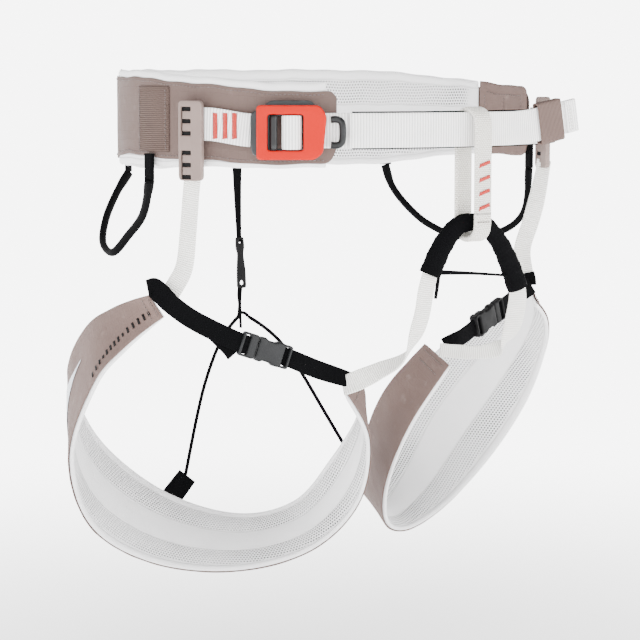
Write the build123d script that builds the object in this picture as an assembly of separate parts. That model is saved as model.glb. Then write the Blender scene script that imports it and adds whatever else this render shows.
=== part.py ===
from build123d import *
from math import cos, sin, radians, hypot, tan, acos
import os

# Climbing harness, wearer facing -Y, wearer's left +X, +Z up, millimetres.
# Origin: centre of the waist opening at mid height of the belt.

# ---- waist belt ----
WAIST_A = 141.0            # half width of the worn waist ellipse, left to right
WAIST_B = 115.0            # half depth, front to back
LINING_IN = -2.0           # belt layers, as offsets outward from the ellipse
LINING_OUT = 1.0
SHELL_IN = 1.2
SHELL_OUT = 2.6
BELT_RIGHT_END = -33.0     # angles round the waist: 0 front, + towards the wearer's left
BELT_LEFT_END = -278.0
END_PANEL = -255.0
SHELL_MARGIN = 4.0         # lining that shows above and below the shell

# ---- webbing ----
WAIST_WEB = 20.0
LEG_WEB = 11.0
BELAY_WEB = 12.0
WEB_T = 1.4
STRAP_Z = -3.0             # height of the waist strap's middle
STRAP_IN = 4.6
TAIL_IN = 6.2
WEAR_IN = 3.4
TAIL_LEAVES = 14           # the strap's tail leaves the belt here, past the belay loop
TAIL_HEADINGS = (11, 10, 8.5, 7)
TAIL_RUN = (0.98, 0.1, 0.17)    # direction of its free end
TAIL_FREE = 32.0

# ---- buckle ----
BUCKLE_AT = -41.5
FRAME_W = 40.0
FRAME_H = 31.0
FRAME_T = 4.0
WINDOW_W = 20.5
WINDOW_H = 20.5
FRAME_Z = -3.9

# ---- belay loop and bridge ----
BELAY_AT = 4.6
BELAY_HALF_GAP = 7.0
BELAY_T = 3.0
BELAY_TOP = 3.0
BELAY_BOTTOM = -62.0
BELAY_MID = 5.5
SHEATH_R = 5.2

# ---- gear loops ----
GEAR_R = 2.8
GEAR_FRONT = 84.0
GEAR_REAR = 136.0
GEAR_OFF = 4.2

os.makedirs("parts", exist_ok=True)


def save(name, shape):
    shape.label = name
    export_step(shape, f"parts/{name}.step")


def smooth(x):
    x = min(max(x, 0.0), 1.0)
    return x * x * (3 - 2 * x)


def belt_normal(angle):
    nx = sin(radians(angle)) / WAIST_A
    ny = -cos(radians(angle)) / WAIST_B
    size = hypot(nx, ny)
    return Vector(nx / size, ny / size, 0)


def belt_point(angle, offset, z):
    base = Vector(WAIST_A * sin(radians(angle)), -WAIST_B * cos(radians(angle)), z)
    return base + belt_normal(angle) * offset


def belt_plane(angle, offset, z):
    # x towards the wearer's left along the belt, y up, z outward
    n = belt_normal(angle)
    return Plane(origin=belt_point(angle, offset, z), x_dir=(-n.Y, n.X, 0), z_dir=n)


def lining_top(angle):
    # the left end is lower than the buckle end; both rise to the back
    a = -angle
    right = 24.0 + 7.5 * smooth((a - 35) / 65)
    left = 21.0 + 10.5 * smooth((279 - a) / 70)
    return min(right, left)


def lining_bottom(angle):
    a = -angle
    back = smooth((a - 100) / 60) * smooth((250 - a) / 30)
    return -24.5 - 7.5 * back


def shell_top(angle):
    return lining_top(angle) - SHELL_MARGIN


def shell_bottom(angle):
    return lining_bottom(angle) + SHELL_MARGIN


def loft(sections):
    wires = [Wire.make_polygon(s, close=True) for s in sections]
    return Solid.make_loft(wires, ruled=True)


def belt_band(start, end, inner, outer, bottom, top, steps):
    sections = []
    for i in range(steps + 1):
        a = start + (end - start) * i / steps
        sections.append([
            belt_point(a, inner, bottom(a)),
            belt_point(a, outer, bottom(a)),
            belt_point(a, outer, top(a)),
            belt_point(a, inner, top(a)),
        ])
    return loft(sections)


def web_band(start, end, inner, width, mid, steps, thick=WEB_T):
    # webbing round the front of the waist at a constant height
    return belt_band(start, end, inner, inner + thick,
                     lambda a: mid(a) - width / 2, lambda a: mid(a) + width / 2, steps)


def ribbon(stations, thick):
    # stations: (centre, width direction, width)
    sections = []
    centres = [Vector(*s[0]) for s in stations]
    for i, (centre, across, width) in enumerate(stations):
        ahead = centres[min(i + 1, len(centres) - 1)]
        behind = centres[max(i - 1, 0)]
        along = (ahead - behind).normalized()
        wide = Vector(*across)
        wide = (wide - along * wide.dot(along)).normalized() * (width / 2)
        face = along.cross(wide).normalized() * (thick / 2)
        c = centres[i]
        sections.append([c - wide - face, c + wide - face, c + wide + face, c - wide + face])
    return loft(sections)


def pad(stations, outward_from, inner, outer, inset=0.0):
    # stations: (upper edge, lower edge); layers are offset away from the leg's middle
    sections = []
    hub = Vector(*outward_from)
    mids = [(Vector(*u) + Vector(*l)) * 0.5 for u, l in stations]
    for i, (u, l) in enumerate(stations):
        wide = Vector(*u) - Vector(*l)
        half = wide.normalized() * (wide.length / 2 - inset)
        along = mids[min(i + 1, len(mids) - 1)] - mids[max(i - 1, 0)]
        face = along.cross(wide).normalized()
        if face.dot(mids[i] - hub) < 0:
            face = face * -1
        sections.append([
            mids[i] - half + face * inner,
            mids[i] - half + face * outer,
            mids[i] + half + face * outer,
            mids[i] + half + face * inner,
        ])
    return loft(sections)


def tube(points, radius, bend):
    # straight runs joined by arcs; bend is the share of the shorter run each arc may use
    pts = [Vector(*p) for p in points]
    radii = []
    for i in range(1, len(pts) - 1):
        a = pts[i] - pts[i - 1]
        b = pts[i + 1] - pts[i]
        turn = acos(min(1.0, a.normalized().dot(b.normalized())))
        radii.append(bend * min(a.length, b.length) / tan(turn / 2))
    path = FilletPolyline(*pts, radius=radii)
    end = Plane(origin=path @ 0, z_dir=path % 0)
    return sweep(end * Circle(radius), path=path)


def ball(centre, radius):
    return Pos(*centre) * Sphere(radius)


# ---- waist belt layers ----
save("waist_lining", belt_band(BELT_RIGHT_END, END_PANEL, LINING_IN, LINING_OUT,
                               lining_bottom, lining_top, 48))
save("waist_end_panel", belt_band(END_PANEL - 0.4, BELT_LEFT_END, LINING_IN, LINING_OUT,
                                  lining_bottom, lining_top, 6))
save("waist_shell", belt_band(BELT_RIGHT_END - 4, BELT_LEFT_END, SHELL_IN, SHELL_OUT,
                              shell_bottom, shell_top, 52))
save("waist_tongue", belt_band(-30.5, BELT_RIGHT_END - 3.6, SHELL_IN, SHELL_IN + 0.8,
                               lambda a: -22.5 - (a + 30.5) * 0.2, lambda a: 19.5, 2))


# ---- waist webbing ----
def level(angle):
    return STRAP_Z


def short_rise(angle):
    # the sewn strap climbs a little towards the hip
    return STRAP_Z + 3.6 * smooth((-50 - angle) / 14)


save("strap_wear_tape", web_band(-27, 62, WEAR_IN, 23, level, 24, 0.8))
save("waist_strap", web_band(-31.5, 84, STRAP_IN, WAIST_WEB, level, 30))
save("waist_strap_short", web_band(-76, -51.5, STRAP_IN, 19, short_rise, 8))

# the tail lies on the strap, then leaves it in a shallow curve and ends in a sewn fold
tail_points = [belt_point(a, TAIL_IN + WEB_T / 2, STRAP_Z) for a in range(-28, TAIL_LEAVES + 1, 6)]
tail_wides = [(0, 0, 1)] * len(tail_points)
for step, heading in enumerate(TAIL_HEADINGS):
    ahead = Vector(cos(radians(heading)), sin(radians(heading)), 0.04 * step)
    tail_points.append(Vector(*tail_points[-1]) + ahead * 8)
    tail_wides.append((-0.04 * step, 0, 1))
tail_start = tail_points[-1]
tail_run = Vector(*TAIL_RUN).normalized()
tail_face = Vector(tail_run.Y, -tail_run.X, 0).normalized()
for reach in (10, 21, TAIL_FREE):
    tail_points.append(tail_start + tail_run * reach)
    tail_wides.append(tuple(tail_face.cross(tail_run)))
tail_line = [(tuple(point), wide, WAIST_WEB) for point, wide in zip(tail_points, tail_wides)]
save("waist_strap_tail", ribbon(tail_line, WEB_T))
fold_centre = tail_points[-1] - tail_run * 4.8 + tail_face * 1.45
fold_plane = Plane(origin=fold_centre, x_dir=tail_run, z_dir=tail_face)
save("tail_fold", fold_plane * Box(8.6, WAIST_WEB, 1.4))

# ---- waist buckle ----
base_plane = belt_plane(BUCKLE_AT, 6.4, FRAME_Z + 0.6)
base_outline = Polyline((-22, -14), (-23.5, -9), (-23.5, 10), (-12, 17.5), (11, 17.5), (15, 13.5),
                        (15, -14), close=True)
base = extrude(base_plane * make_face(base_outline), 1.8)
base -= extrude(base_plane * Pos(-3, -0.6) * Rectangle(WINDOW_W - 2, WINDOW_H - 2), 1.8)
save("buckle_base", base)

FRAME_OFF = 9.6
frame_plane = belt_plane(BUCKLE_AT, FRAME_OFF, FRAME_Z)
hw = FRAME_W / 2
hh = FRAME_H / 2
frame_outline = Polyline((-hw, -hh), (-hw, hh), (hw - 4, hh), (hw, hh - 6), (hw - 2, -hh + 4),
                         (hw - 7, -hh), close=True)
frame_face = fillet(make_face(frame_outline).vertices(), 2.4)
window = Pos(-3.5, 0) * RectangleRounded(WINDOW_W, WINDOW_H, 1.6)
frame = extrude(frame_plane * frame_face, FRAME_T)
front = frame.faces().sort_by(lambda f: (f.center() - frame_plane.origin).dot(frame_plane.z_dir))[-1]
frame = chamfer(front.edges(), 0.9)
frame -= extrude(frame_plane * window, FRAME_T)
save("buckle_frame", frame)

# friction bar carried by the frame, with the strap bent over it
bar = Cylinder(2.1, WINDOW_H - 0.6)
save("buckle_bar", frame_plane * Pos(-10.2, 0, 2.0) * Rot(90, 0, 0) * bar)
wrap = frame_plane * Pos(0.2, 0, 1.6) * Rot(90, 0, 0) * (Cylinder(5.4, WAIST_WEB) & Box(10.6, 5.4, WAIST_WEB))
save("strap_wrap", wrap)

hook_plane = belt_plane(BUCKLE_AT, 8.6, FRAME_Z)
hook_path = FilletPolyline((22.2, 7.2, 0), (29.0, 7.2, 0), (29.0, -7.2, 0), (22.2, -7.2, 0), radius=4.0)
hook_wire = hook_plane * hook_path
hook = sweep(Plane(origin=hook_wire @ 0, z_dir=hook_wire % 0) * Circle(2.0), path=hook_wire)
save("buckle_hook", hook)


# ---- hip ladders: moulded guides with clip slots ----
def ladder(angle, offset, mirror_slots):
    plane = belt_plane(angle, offset, -9.0)
    body = extrude(plane * RectangleRounded(15.5, 46, 2.6), 3.6)
    for y in (18.2, 11.2, 4.2, -6.9, -13.9, -20.9):
        slot = plane * Pos(mirror_slots * -2.7, y) * Rectangle(6.4, 2.4)
        body -= extrude(slot, 3.6)
    return body


save("ladder_right", ladder(-67.4, 6.6, 1))
save("ladder_left", ladder(79.0, 6.4, -1))

# ---- gear loop patches, tabs and loops ----
save("gear_patch_right", belt_band(-90, -76.6, 3.0, 3.8, lambda a: -16.2, lambda a: 22, 3))
save("gear_patch_left", belt_band(86, 98, 3.0, 3.8, lambda a: -14, lambda a: 17, 3))


def side_point(side, angle, z, out=0.0):
    p = belt_point(side * angle, GEAR_OFF + out, z)
    return (p.X, p.Y, p.Z)


GEAR_AXIS_Z = -33.0
for side, name in ((-1, "right"), (1, "left")):
    for angle, end in ((GEAR_FRONT, "front"), (GEAR_REAR, "rear")):
        tab_plane = belt_plane(side * angle, 3.0, -22.9)
        tab = extrude(tab_plane * Rectangle(8, 12.4), 2.6)
        save(f"gear_tab_{name}_{end}", tab)

right_loop = [side_point(-1, GEAR_REAR, GEAR_AXIS_Z), (-111, 83, -45), (-124, 74, -60), (-134, 61, -74),
              (-138, 42, -79), (-136, 27, -68), (-136, 9, -54), side_point(-1, GEAR_FRONT, GEAR_AXIS_Z)]
left_loop = [side_point(1, GEAR_REAR, GEAR_AXIS_Z), (102, 80, -47), (105, 65, -61), (112, 51, -72),
             (123, 33, -79), (139, 9, -75), (147, -5, -61), side_point(1, GEAR_FRONT, GEAR_AXIS_Z)]
for name, route in (("right", right_loop), ("left", left_loop)):
    loop = tube(route, GEAR_R, 0.45)
    loop += ball(route[0], GEAR_R)
    loop += ball(route[-1], GEAR_R)
    save(f"gear_loop_{name}", loop)

# ---- belay loop, round the waist strap above and the bridge below ----
belay_plane = belt_plane(BELAY_AT, 0, 0)
across_belay = Plane(origin=belay_plane.origin + belay_plane.x_dir * (BELAY_WEB / 2),
                     x_dir=belay_plane.z_dir, z_dir=belay_plane.x_dir * -1)


def stadium(radius):
    height = BELAY_TOP - BELAY_BOTTOM
    mid = (BELAY_TOP + BELAY_BOTTOM) / 2
    return Pos(BELAY_MID, mid) * Rot(0, 0, 90) * SlotCenterToCenter(height, 2 * radius)


belay = extrude(across_belay * stadium(BELAY_HALF_GAP + BELAY_T), BELAY_WEB)
belay -= extrude(across_belay * stadium(BELAY_HALF_GAP), BELAY_WEB)
save("belay_loop", belay)

# ---- bridge between the leg loops ----
SHEATH = [(-13, -111, -88), (-7, -114.5, -72), (1, -118.5, -60), (9.5, -120.5, -57.5),
          (20, -120.5, -59), (33, -118.5, -70), (44, -115, -84), (53, -112, -99)]
save("bridge_sheath", tube(SHEATH, SHEATH_R, 0.45))

bridge_right = [((-14.2, -110.2, -91.5), (0.82, -0.57, 0), 9), ((-11, -101, -116), (0.8, -0.3, -0.3), 9.5),
                ((-11, -88, -138), (0.6, 0.5, 0.4), 11), ((-18.5, -71, -150), (0.3, 0.4, 0.85), 11),
                ((-24, -62.0, -155), (-0.1, 0.6, 0.8), 11)]
save("bridge_strap_right", ribbon(bridge_right, WEB_T))
bridge_left = [((54.4, -111, -100.5), (0.82, -0.57, 0), 9), ((57.7, -106, -110), (0.82, -0.57, 0), 11),
               ((59.8, -98, -126.3), (0.8, -0.4, 0.4), 11), ((59.4, -89, -136.9), (0.5, -0.1, 0.85), 10),
               ((50.2, -80, -140.5), (0.1, 0.3, 0.95), 9), ((42.2, -70.5, -140.5), (0, 0.4, 0.9), 10)]
save("bridge_strap_left", ribbon(bridge_left, WEB_T))
elastic = [((-5.5, -112.4, -92.5), (0, 0, 1), 3.2), ((20, -113, -93), (0, 0, 1), 1.8),
           ((41, -114, -95), (0, 0, 1), 1.4)]
save("cross_elastic", ribbon(elastic, 1.2))
branch = [((-7, -112.6, -95.5), (0.82, -0.57, 0), 2.4), ((-6.5, -109.5, -107), (0.82, -0.57, 0), 2.0)]
save("elastic_branch", ribbon(branch, 1.2))

# ---- risers from the hip ladders to the leg loops ----
riser_r = [((-136.2, -46.6, -33.5), (0.44, -0.9, 0), LEG_WEB),
           ((-135.5, -41, -60), (0.46, -0.88, 0), LEG_WEB),
           ((-135.5, -36.5, -84), (0.55, -0.83, 0), LEG_WEB),
           ((-138.5, -33.5, -97), (0.7, -0.65, -0.3), LEG_WEB)]
save("riser_right", ribbon(riser_r, WEB_T))
riser_l = [((146.2, -23.8, -34.2), (0.2, -0.95, 0), LEG_WEB), ((144.3, -20.5, -54), (0.6, -0.78, 0), LEG_WEB),
           ((142, -17.5, -68), (0.82, -0.57, 0), LEG_WEB), ((138, -13.5, -86), (0.82, -0.57, 0), LEG_WEB),
           ((137, -12.8, -98), (0.8, -0.57, -0.1), LEG_WEB)]
save("riser_left", ribbon(riser_l, WEB_T))

# ---- drop-seat tape and clip at the back ----
save("drop_tape", ribbon([((1, 117.4, -33), (1, 0, 0), 7.5), ((0, 115, -52), (1, 0, 0), 5.5),
                          ((-1.3, 111.5, -77.5), (1, 0, 0), 3.4)], 1.2))
CLIP_EYE = (-1.3, 110.8, -82.0)
clip_plane = Plane(origin=CLIP_EYE, x_dir=(1, 0, 0), z_dir=(0, -1, 0.09))
clip = extrude(clip_plane * make_face(Polyline((-2.6, 2.8), (2.6, 2.8), (3.2, -20), (3.0, -31), (-3.6, -31),
                                                (-3.2, -20), close=True)), 1.2, both=True)
clip -= extrude(clip_plane * Circle(1.3), 1.2, both=True)
clip -= extrude(clip_plane * Pos(-0.2, -27.4) * Circle(1.6), 1.2, both=True)
save("drop_clip", clip)
save("drop_loop", ribbon([((-2.6, 108.2, -114.4), (1, 0, 0), 4.2), ((-4, 106.6, -124), (1, 0, 0), 3.6),
                          ((-4.6, 104.6, -139), (1, 0, 0), 2.2)], 1.6))

# ---- leg loop pads ----
# stations round each thigh from the outer front end, round the back, to the inner front end:
# (upper edge, lower edge)
PAD_RIGHT = [((-150.5, -22, -99), (-144.5, -29, -112)), ((-158, 6, -109), (-166, -20, -131)),
             ((-161, 35, -124), (-182, -12, -152)), ((-157, 62, -155), (-185, 12, -198)),
             ((-128, 79, -199), (-162, 28, -244)), ((-84, 74, -236), (-121, 23, -270)),
             ((-45, 49, -251), (-75, 1, -276)), ((-24, 14, -240), (-37, -25, -263)),
             ((-18, -18, -209), (-16, -45, -233)), ((-11, -40, -176), (-18.5, -58, -193)),
             ((-20, -50, -152.5), (-40, -63, -161.5))]
PAD_LEFT = [((140, -18, -109), (142, -24, -121)), ((150, 14, -120), (164, -10, -135)),
            ((151, 43, -137), (174, 3, -156)), ((138, 75, -160), (178, 26, -192)),
            ((116, 90, -192), (156, 34, -227)), ((93, 82, -231), (116, 30, -256)),
            ((69, 61, -250), (71, 16, -268)), ((44, 33, -238), (36, -5, -258)),
            ((25, 5, -206), (17, -30, -228)), ((21, -22, -169), (18, -53, -188)),
            ((37.6, -42, -138.7), (37.9, -67.2, -150))]
BETWEEN = 3                # extra sections between stations
HUB_RIGHT = (-93, 0, -180)
HUB_LEFT = (92, 4, -182)


def rounded(stations, extra):
    # Catmull-Rom through the stations, extra sections between each pair
    smoothed = []
    last = len(stations) - 1
    for i in range(last):
        edges = []
        for side in (0, 1):
            p = [Vector(*stations[min(max(j, 0), last)][side]) for j in (i - 1, i, i + 1, i + 2)]
            run = []
            for k in range(extra + 1):
                t = k / (extra + 1)
                run.append((p[1] * 2 + (p[2] - p[0]) * t + (p[0] * 2 - p[1] * 5 + p[2] * 4 - p[3]) * t ** 2
                            + (p[1] * 3 - p[0] - p[2] * 3 + p[3]) * t ** 3) * 0.5)
            edges.append(run)
        smoothed += [(tuple(u), tuple(l)) for u, l in zip(*edges)]
    smoothed.append(stations[last])
    return smoothed


def part_way(stations, first, last, low, high):
    # a strip of the pad between two stations and between two heights across it
    strip = []
    for u, l in stations[first:last + 1]:
        up = Vector(*u)
        lo = Vector(*l)
        a = lo + (up - lo) * high
        b = lo + (up - lo) * low
        strip.append(((a.X, a.Y, a.Z), (b.X, b.Y, b.Z)))
    return strip


for name, stations, hub in (("right", PAD_RIGHT, HUB_RIGHT), ("left", PAD_LEFT, HUB_LEFT)):
    smoothed = rounded(stations, BETWEEN)
    step = BETWEEN + 1
    save(f"leg_lining_{name}", pad(smoothed, hub, -1.6, 1.0))
    save(f"leg_shell_{name}", pad(smoothed, hub, 1.3, 2.4, 0.4))
    save(f"leg_reflector_{name}", pad(part_way(smoothed, 2 * step + 1, 4 * step, 0.45, 0.82), hub, 2.7, 3.1))

# ---- leg loop closures ----
BODY_L = 15.0              # side-release socket
BODY_W = 15.0
BODY_T = 6.0
PRONG = 11.0
CLEAR = 0.3


def closure(name, centre, along, outer_end, inner_end, outer_mid, inner_mid):
    u = Vector(*along).normalized()
    up = Vector(0, 0, 1)
    w = (up - u * up.dot(u)).normalized()
    n = u.cross(w)
    if n.Y > 0:
        n = n * -1
    c = Vector(*centre)
    plane = Plane(origin=c, x_dir=u, z_dir=n)
    socket = plane * Pos(BODY_L / 2, 0, 0) * Box(BODY_L, BODY_W, BODY_T)
    socket = chamfer(socket.edges().filter_by(Axis(c, u)), 1.2)
    socket -= plane * Pos((BODY_L - 2.4) / 2, 0, 0) * Box(BODY_L - 2.4, BODY_W - 3.2, BODY_T - 2.6)
    socket -= plane * Pos(7.6, 0, 0) * Box(5.4, BODY_W + 2, BODY_T - 3.0)
    lug = plane * Pos(BODY_L + 3.4, 0, 0) * (Box(6.8, BODY_W - 1, 3.4) - Box(3.0, LEG_WEB + 0.8, 4))
    save(f"leg_socket_{name}", socket + lug)
    plug = plane * Pos(-5.6, 0, 0) * Box(10.4, BODY_W, BODY_T - 1.4)
    plug -= plane * Pos(-7.4, 0, 0) * Box(3.2, LEG_WEB + 0.8, BODY_T)
    for y in (-4.4, 4.4):
        plug += plane * Pos(PRONG / 2 - 0.8, y, 0) * Box(PRONG + 1.0, 2.6, BODY_T - 2.6 - 2 * CLEAR)
    plug += plane * Pos(3.0, 0, 0) * Box(8.0, 2.4, BODY_T - 2.6 - 2 * CLEAR)
    save(f"leg_plug_{name}", plug)
    near = c + u * -12.2
    far = c + u * (BODY_L + 8.0)
    wd = (w.X, w.Y, w.Z)
    save(f"leg_strap_outer_{name}", ribbon([(outer_end[0], outer_end[1], 10), (outer_mid, wd, 10.5),
                                            ((near.X, near.Y, near.Z), wd, 10.5)], 1.4))
    save(f"leg_strap_inner_{name}", ribbon([((far.X, far.Y, far.Z), wd, 10.5), (inner_mid, wd, 10.5),
                                            (inner_end[0], inner_end[1], 10)], 1.4))


closure("right", (-96.5, -53.4, -131), (65, -14, -23), ((-142.5, -35.5, -104.5), (0.2, -0.3, 1)),
        ((-38.3, -66.5, -153), (-0.1, 0.5, 0.85)), (-121, -45.5, -119.5), (-58, -61.5, -146))
closure("left", (96, -36, -123.7), (-86, -25, -31), ((134, -25, -110), (0, 0.3, 1)),
        ((45, -48.5, -141.5), (-0.1, 0.5, 0.85)), (121, -28.7, -114.6), (62, -46, -136))

# black loops where each riser meets its leg loop
for name, centre, axis in (("right", (-146.5, -27, -93), (0.45, -0.35, -0.8)),
                           ("left", (139.5, -24, -104.5), (-0.45, -0.35, -0.8))):
    u = Vector(*axis).normalized()
    w = Vector(0.3, 0.9, -0.25) if name == "right" else Vector(-0.3, 0.9, -0.25)
    w = (w - u * w.dot(u)).normalized()
    plane = Plane(origin=Vector(*centre), x_dir=u, z_dir=u.cross(w))
    save(f"leg_eye_{name}", plane * Box(7, 5, 4))

# rear tabs on the leg loops that the drop-seat cord ties into
for name, foot, head, side in (("right", (-76.4, 77.1, -241.5), (-65.9, 74.5, -228.5), (0.8, -0.35, -0.45)),
                               ("left", (72, 66.5, -243), (63, 70, -229), (0.8, 0.35, 0.45))):
    save(f"leg_rear_tab_{name}", ribbon([(foot, side, 14), (head, side, 13)], 1.4))

# drop-seat cord: one loose half to each leg loop from the clip's tail
CORD_R = 1.2
save("rear_cord_right", tube([(-8.5, 101.5, -131), (-24, 95, -139), (-42, 88, -166), (-54, 82.5, -194),
                              (-64, 78.5, -222)], CORD_R, 0.45))
save("rear_cord_left", tube([(-0.5, 101.5, -131.5), (16, 95, -142), (32, 87, -169), (46, 79.5, -197),
                             (58.5, 73, -223)], CORD_R, 0.45))

# ---- elastic keeper round the strap's tail ----
KEEPER_L = 20.0
keeper_plane = Plane(origin=tail_start + tail_run * 9.2, x_dir=tail_run, z_dir=tail_face)
save("tail_keeper", keeper_plane * (Box(KEEPER_L, 24.4, 5.2) - Box(KEEPER_L, 21.6, 3.2)))
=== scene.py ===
import bpy
import bmesh
import numpy as np
from math import cos, sin, pi, radians
from mathutils import Matrix, Vector


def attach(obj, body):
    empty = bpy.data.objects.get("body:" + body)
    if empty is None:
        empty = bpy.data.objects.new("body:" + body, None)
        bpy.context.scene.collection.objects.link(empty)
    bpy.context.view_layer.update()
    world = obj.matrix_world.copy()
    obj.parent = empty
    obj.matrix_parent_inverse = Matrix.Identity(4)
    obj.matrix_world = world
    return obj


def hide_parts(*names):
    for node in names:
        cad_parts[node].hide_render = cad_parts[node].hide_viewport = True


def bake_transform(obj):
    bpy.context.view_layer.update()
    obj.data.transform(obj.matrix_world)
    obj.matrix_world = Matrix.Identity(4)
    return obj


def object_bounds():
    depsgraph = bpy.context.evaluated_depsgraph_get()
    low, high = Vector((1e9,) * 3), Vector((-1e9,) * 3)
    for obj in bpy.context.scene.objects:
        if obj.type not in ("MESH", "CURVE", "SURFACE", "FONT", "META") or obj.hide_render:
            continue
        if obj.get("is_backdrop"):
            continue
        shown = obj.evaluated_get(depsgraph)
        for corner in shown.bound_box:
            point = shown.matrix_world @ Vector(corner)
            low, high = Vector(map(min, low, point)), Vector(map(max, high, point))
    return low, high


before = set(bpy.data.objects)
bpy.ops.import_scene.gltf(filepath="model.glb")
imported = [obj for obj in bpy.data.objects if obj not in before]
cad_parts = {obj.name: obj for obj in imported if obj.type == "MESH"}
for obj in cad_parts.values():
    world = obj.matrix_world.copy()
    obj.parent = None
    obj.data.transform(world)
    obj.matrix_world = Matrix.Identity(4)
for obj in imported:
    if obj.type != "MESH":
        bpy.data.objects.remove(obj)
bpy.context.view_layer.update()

# Lengths below are millimetres in the frame of the CAD model; MM turns them into metres.
MM = 0.001
UP = np.array((0.0, 0.0, 1.0))


# ---------------------------------------------------------------- camera
def to_m(p):
    return Vector(p) * MM


def new_object(name, data):
    obj = bpy.data.objects.new(name, data)
    bpy.context.scene.collection.objects.link(obj)
    return obj


AIM = Vector((-9.2, 6.4, -125.0))
AZIMUTH = radians(35)
ELEVATION = radians(6)
DISTANCE = 1508.3
BACK = Vector((-sin(AZIMUTH) * cos(ELEVATION), -cos(AZIMUTH) * cos(ELEVATION), sin(ELEVATION)))
camera = new_object("camera", bpy.data.cameras.new("camera"))
camera.data.lens = 135
camera.data.sensor_width = 36
camera.location = (AIM + BACK * DISTANCE) * MM
camera.rotation_mode = "QUATERNION"
camera.rotation_quaternion = (-BACK).to_track_quat("-Z", "Y")
camera.data.clip_start = 0.05
camera.data.clip_end = 100
bpy.context.scene.camera = camera


# ---------------------------------------------------------------- materials
def srgb(r, g, b):
    """A screen colour, 0 to 255, as the linear one that the nodes take."""
    shares = (c / 255 for c in (r, g, b))
    return tuple(c / 12.92 if c < 11 / 255 else ((c + 0.055) / 1.055) ** 2.4 for c in shares) + (1.0,)


LOOKS = {}


class Look:
    """A procedural material. u and v are millimetres along and across a piece's own fabric."""

    def __init__(self, name, rough, sheen=0.0, metallic=0.0, specular=0.4):
        LOOKS[name] = bpy.data.materials.new(name)
        LOOKS[name].use_nodes = True
        self.tree = LOOKS[name].node_tree
        self.shader = self.tree.nodes["Principled BSDF"]
        self.set(self.shader, "Roughness", rough)
        self.set(self.shader, "Metallic", metallic)
        self.set(self.shader, "Specular IOR Level", specular)
        self.set(self.shader, "Sheen Weight", sheen)
        self.set(self.shader, "Sheen Roughness", 0.5)
        self.place = self.add("ShaderNodeTexCoord").outputs["Object"]
        self.u, self.v = self.pair("fabric")

    def set(self, node, name, value):
        """Links an output to the input, or gives the input its own value."""
        if isinstance(value, bpy.types.NodeSocket):
            self.tree.links.new(value, node.inputs[name])
        else:
            node.inputs[name].default_value = value

    def add(self, kind, **inputs):
        node = self.tree.nodes.new(kind)
        for name, value in inputs.items():
            self.set(node, name, value)
        return node

    def pair(self, uv_map):
        uv = self.add("ShaderNodeUVMap")
        uv.uv_map = uv_map
        parts = self.add("ShaderNodeSeparateXYZ", Vector=uv.outputs[0])
        return parts.outputs["X"], parts.outputs["Y"]

    def op(self, kind, a, b=0.0, c=0.0):
        node = self.tree.nodes.new("ShaderNodeMath")
        node.operation = kind
        for i, value in enumerate((a, b, c)):
            self.set(node, i, value)
        return node.outputs[0]

    def times(self, a, b):
        return self.op("MULTIPLY", a, b)

    def centred(self, value):
        """How far through its own unit a value is, from -0.5 to 0.5."""
        return self.op("SUBTRACT", self.op("FRACT", value), 0.5)

    def shifted(self, line, along, pitch):
        """along in units of pitch, every other line half a unit on."""
        odd = self.op("MODULO", self.op("FLOOR", line), 2.0)
        return self.op("MULTIPLY_ADD", odd, 0.5, self.op("DIVIDE", along, pitch))

    def step(self, value, low, high):
        node = self.add("ShaderNodeMapRange", Value=value)
        node.interpolation_type = "SMOOTHSTEP"
        self.set(node, "From Min", low)
        self.set(node, "From Max", high)
        return node.outputs[0]

    def noise(self, per_m, detail=3.0):
        return self.add("ShaderNodeTexNoise", Vector=self.place, Scale=per_m, Detail=detail).outputs["Fac"]

    def wave(self, value, period):
        """0 to 1 to 0 over each period."""
        turned = self.op("MULTIPLY_ADD", value, 2 * pi / period)
        return self.op("MULTIPLY_ADD", self.op("SINE", turned), 0.5, 0.5)

    def mix(self, share, a, b):
        node = self.tree.nodes.new("ShaderNodeMix")
        node.data_type = "RGBA"
        for i, value in ((0, share), (6, a), (7, b)):
            self.set(node, i, value)
        return node.outputs[2]

    def sum(self, *parts):
        """Weighted sum of (socket, weight) pairs."""
        total = 0.0
        for socket, weight in parts:
            total = self.op("MULTIPLY_ADD", socket, weight, total)
        return total

    def done(self, colour, height=None, depth=0.3, rough=None):
        self.set(self.shader, "Base Color", colour)
        if height is not None:
            bump = self.add("ShaderNodeBump", Height=height, Distance=depth * MM, Strength=1.0)
            self.set(self.shader, "Normal", bump.outputs[0])
        if rough is not None:
            self.set(self.shader, "Roughness", rough)


SEAMS = (0.07, 0.32, 0.64, 0.90)     # across a pad: borders, mesh bands, plain middle channel
HOLE_PITCH = 1.9


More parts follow.
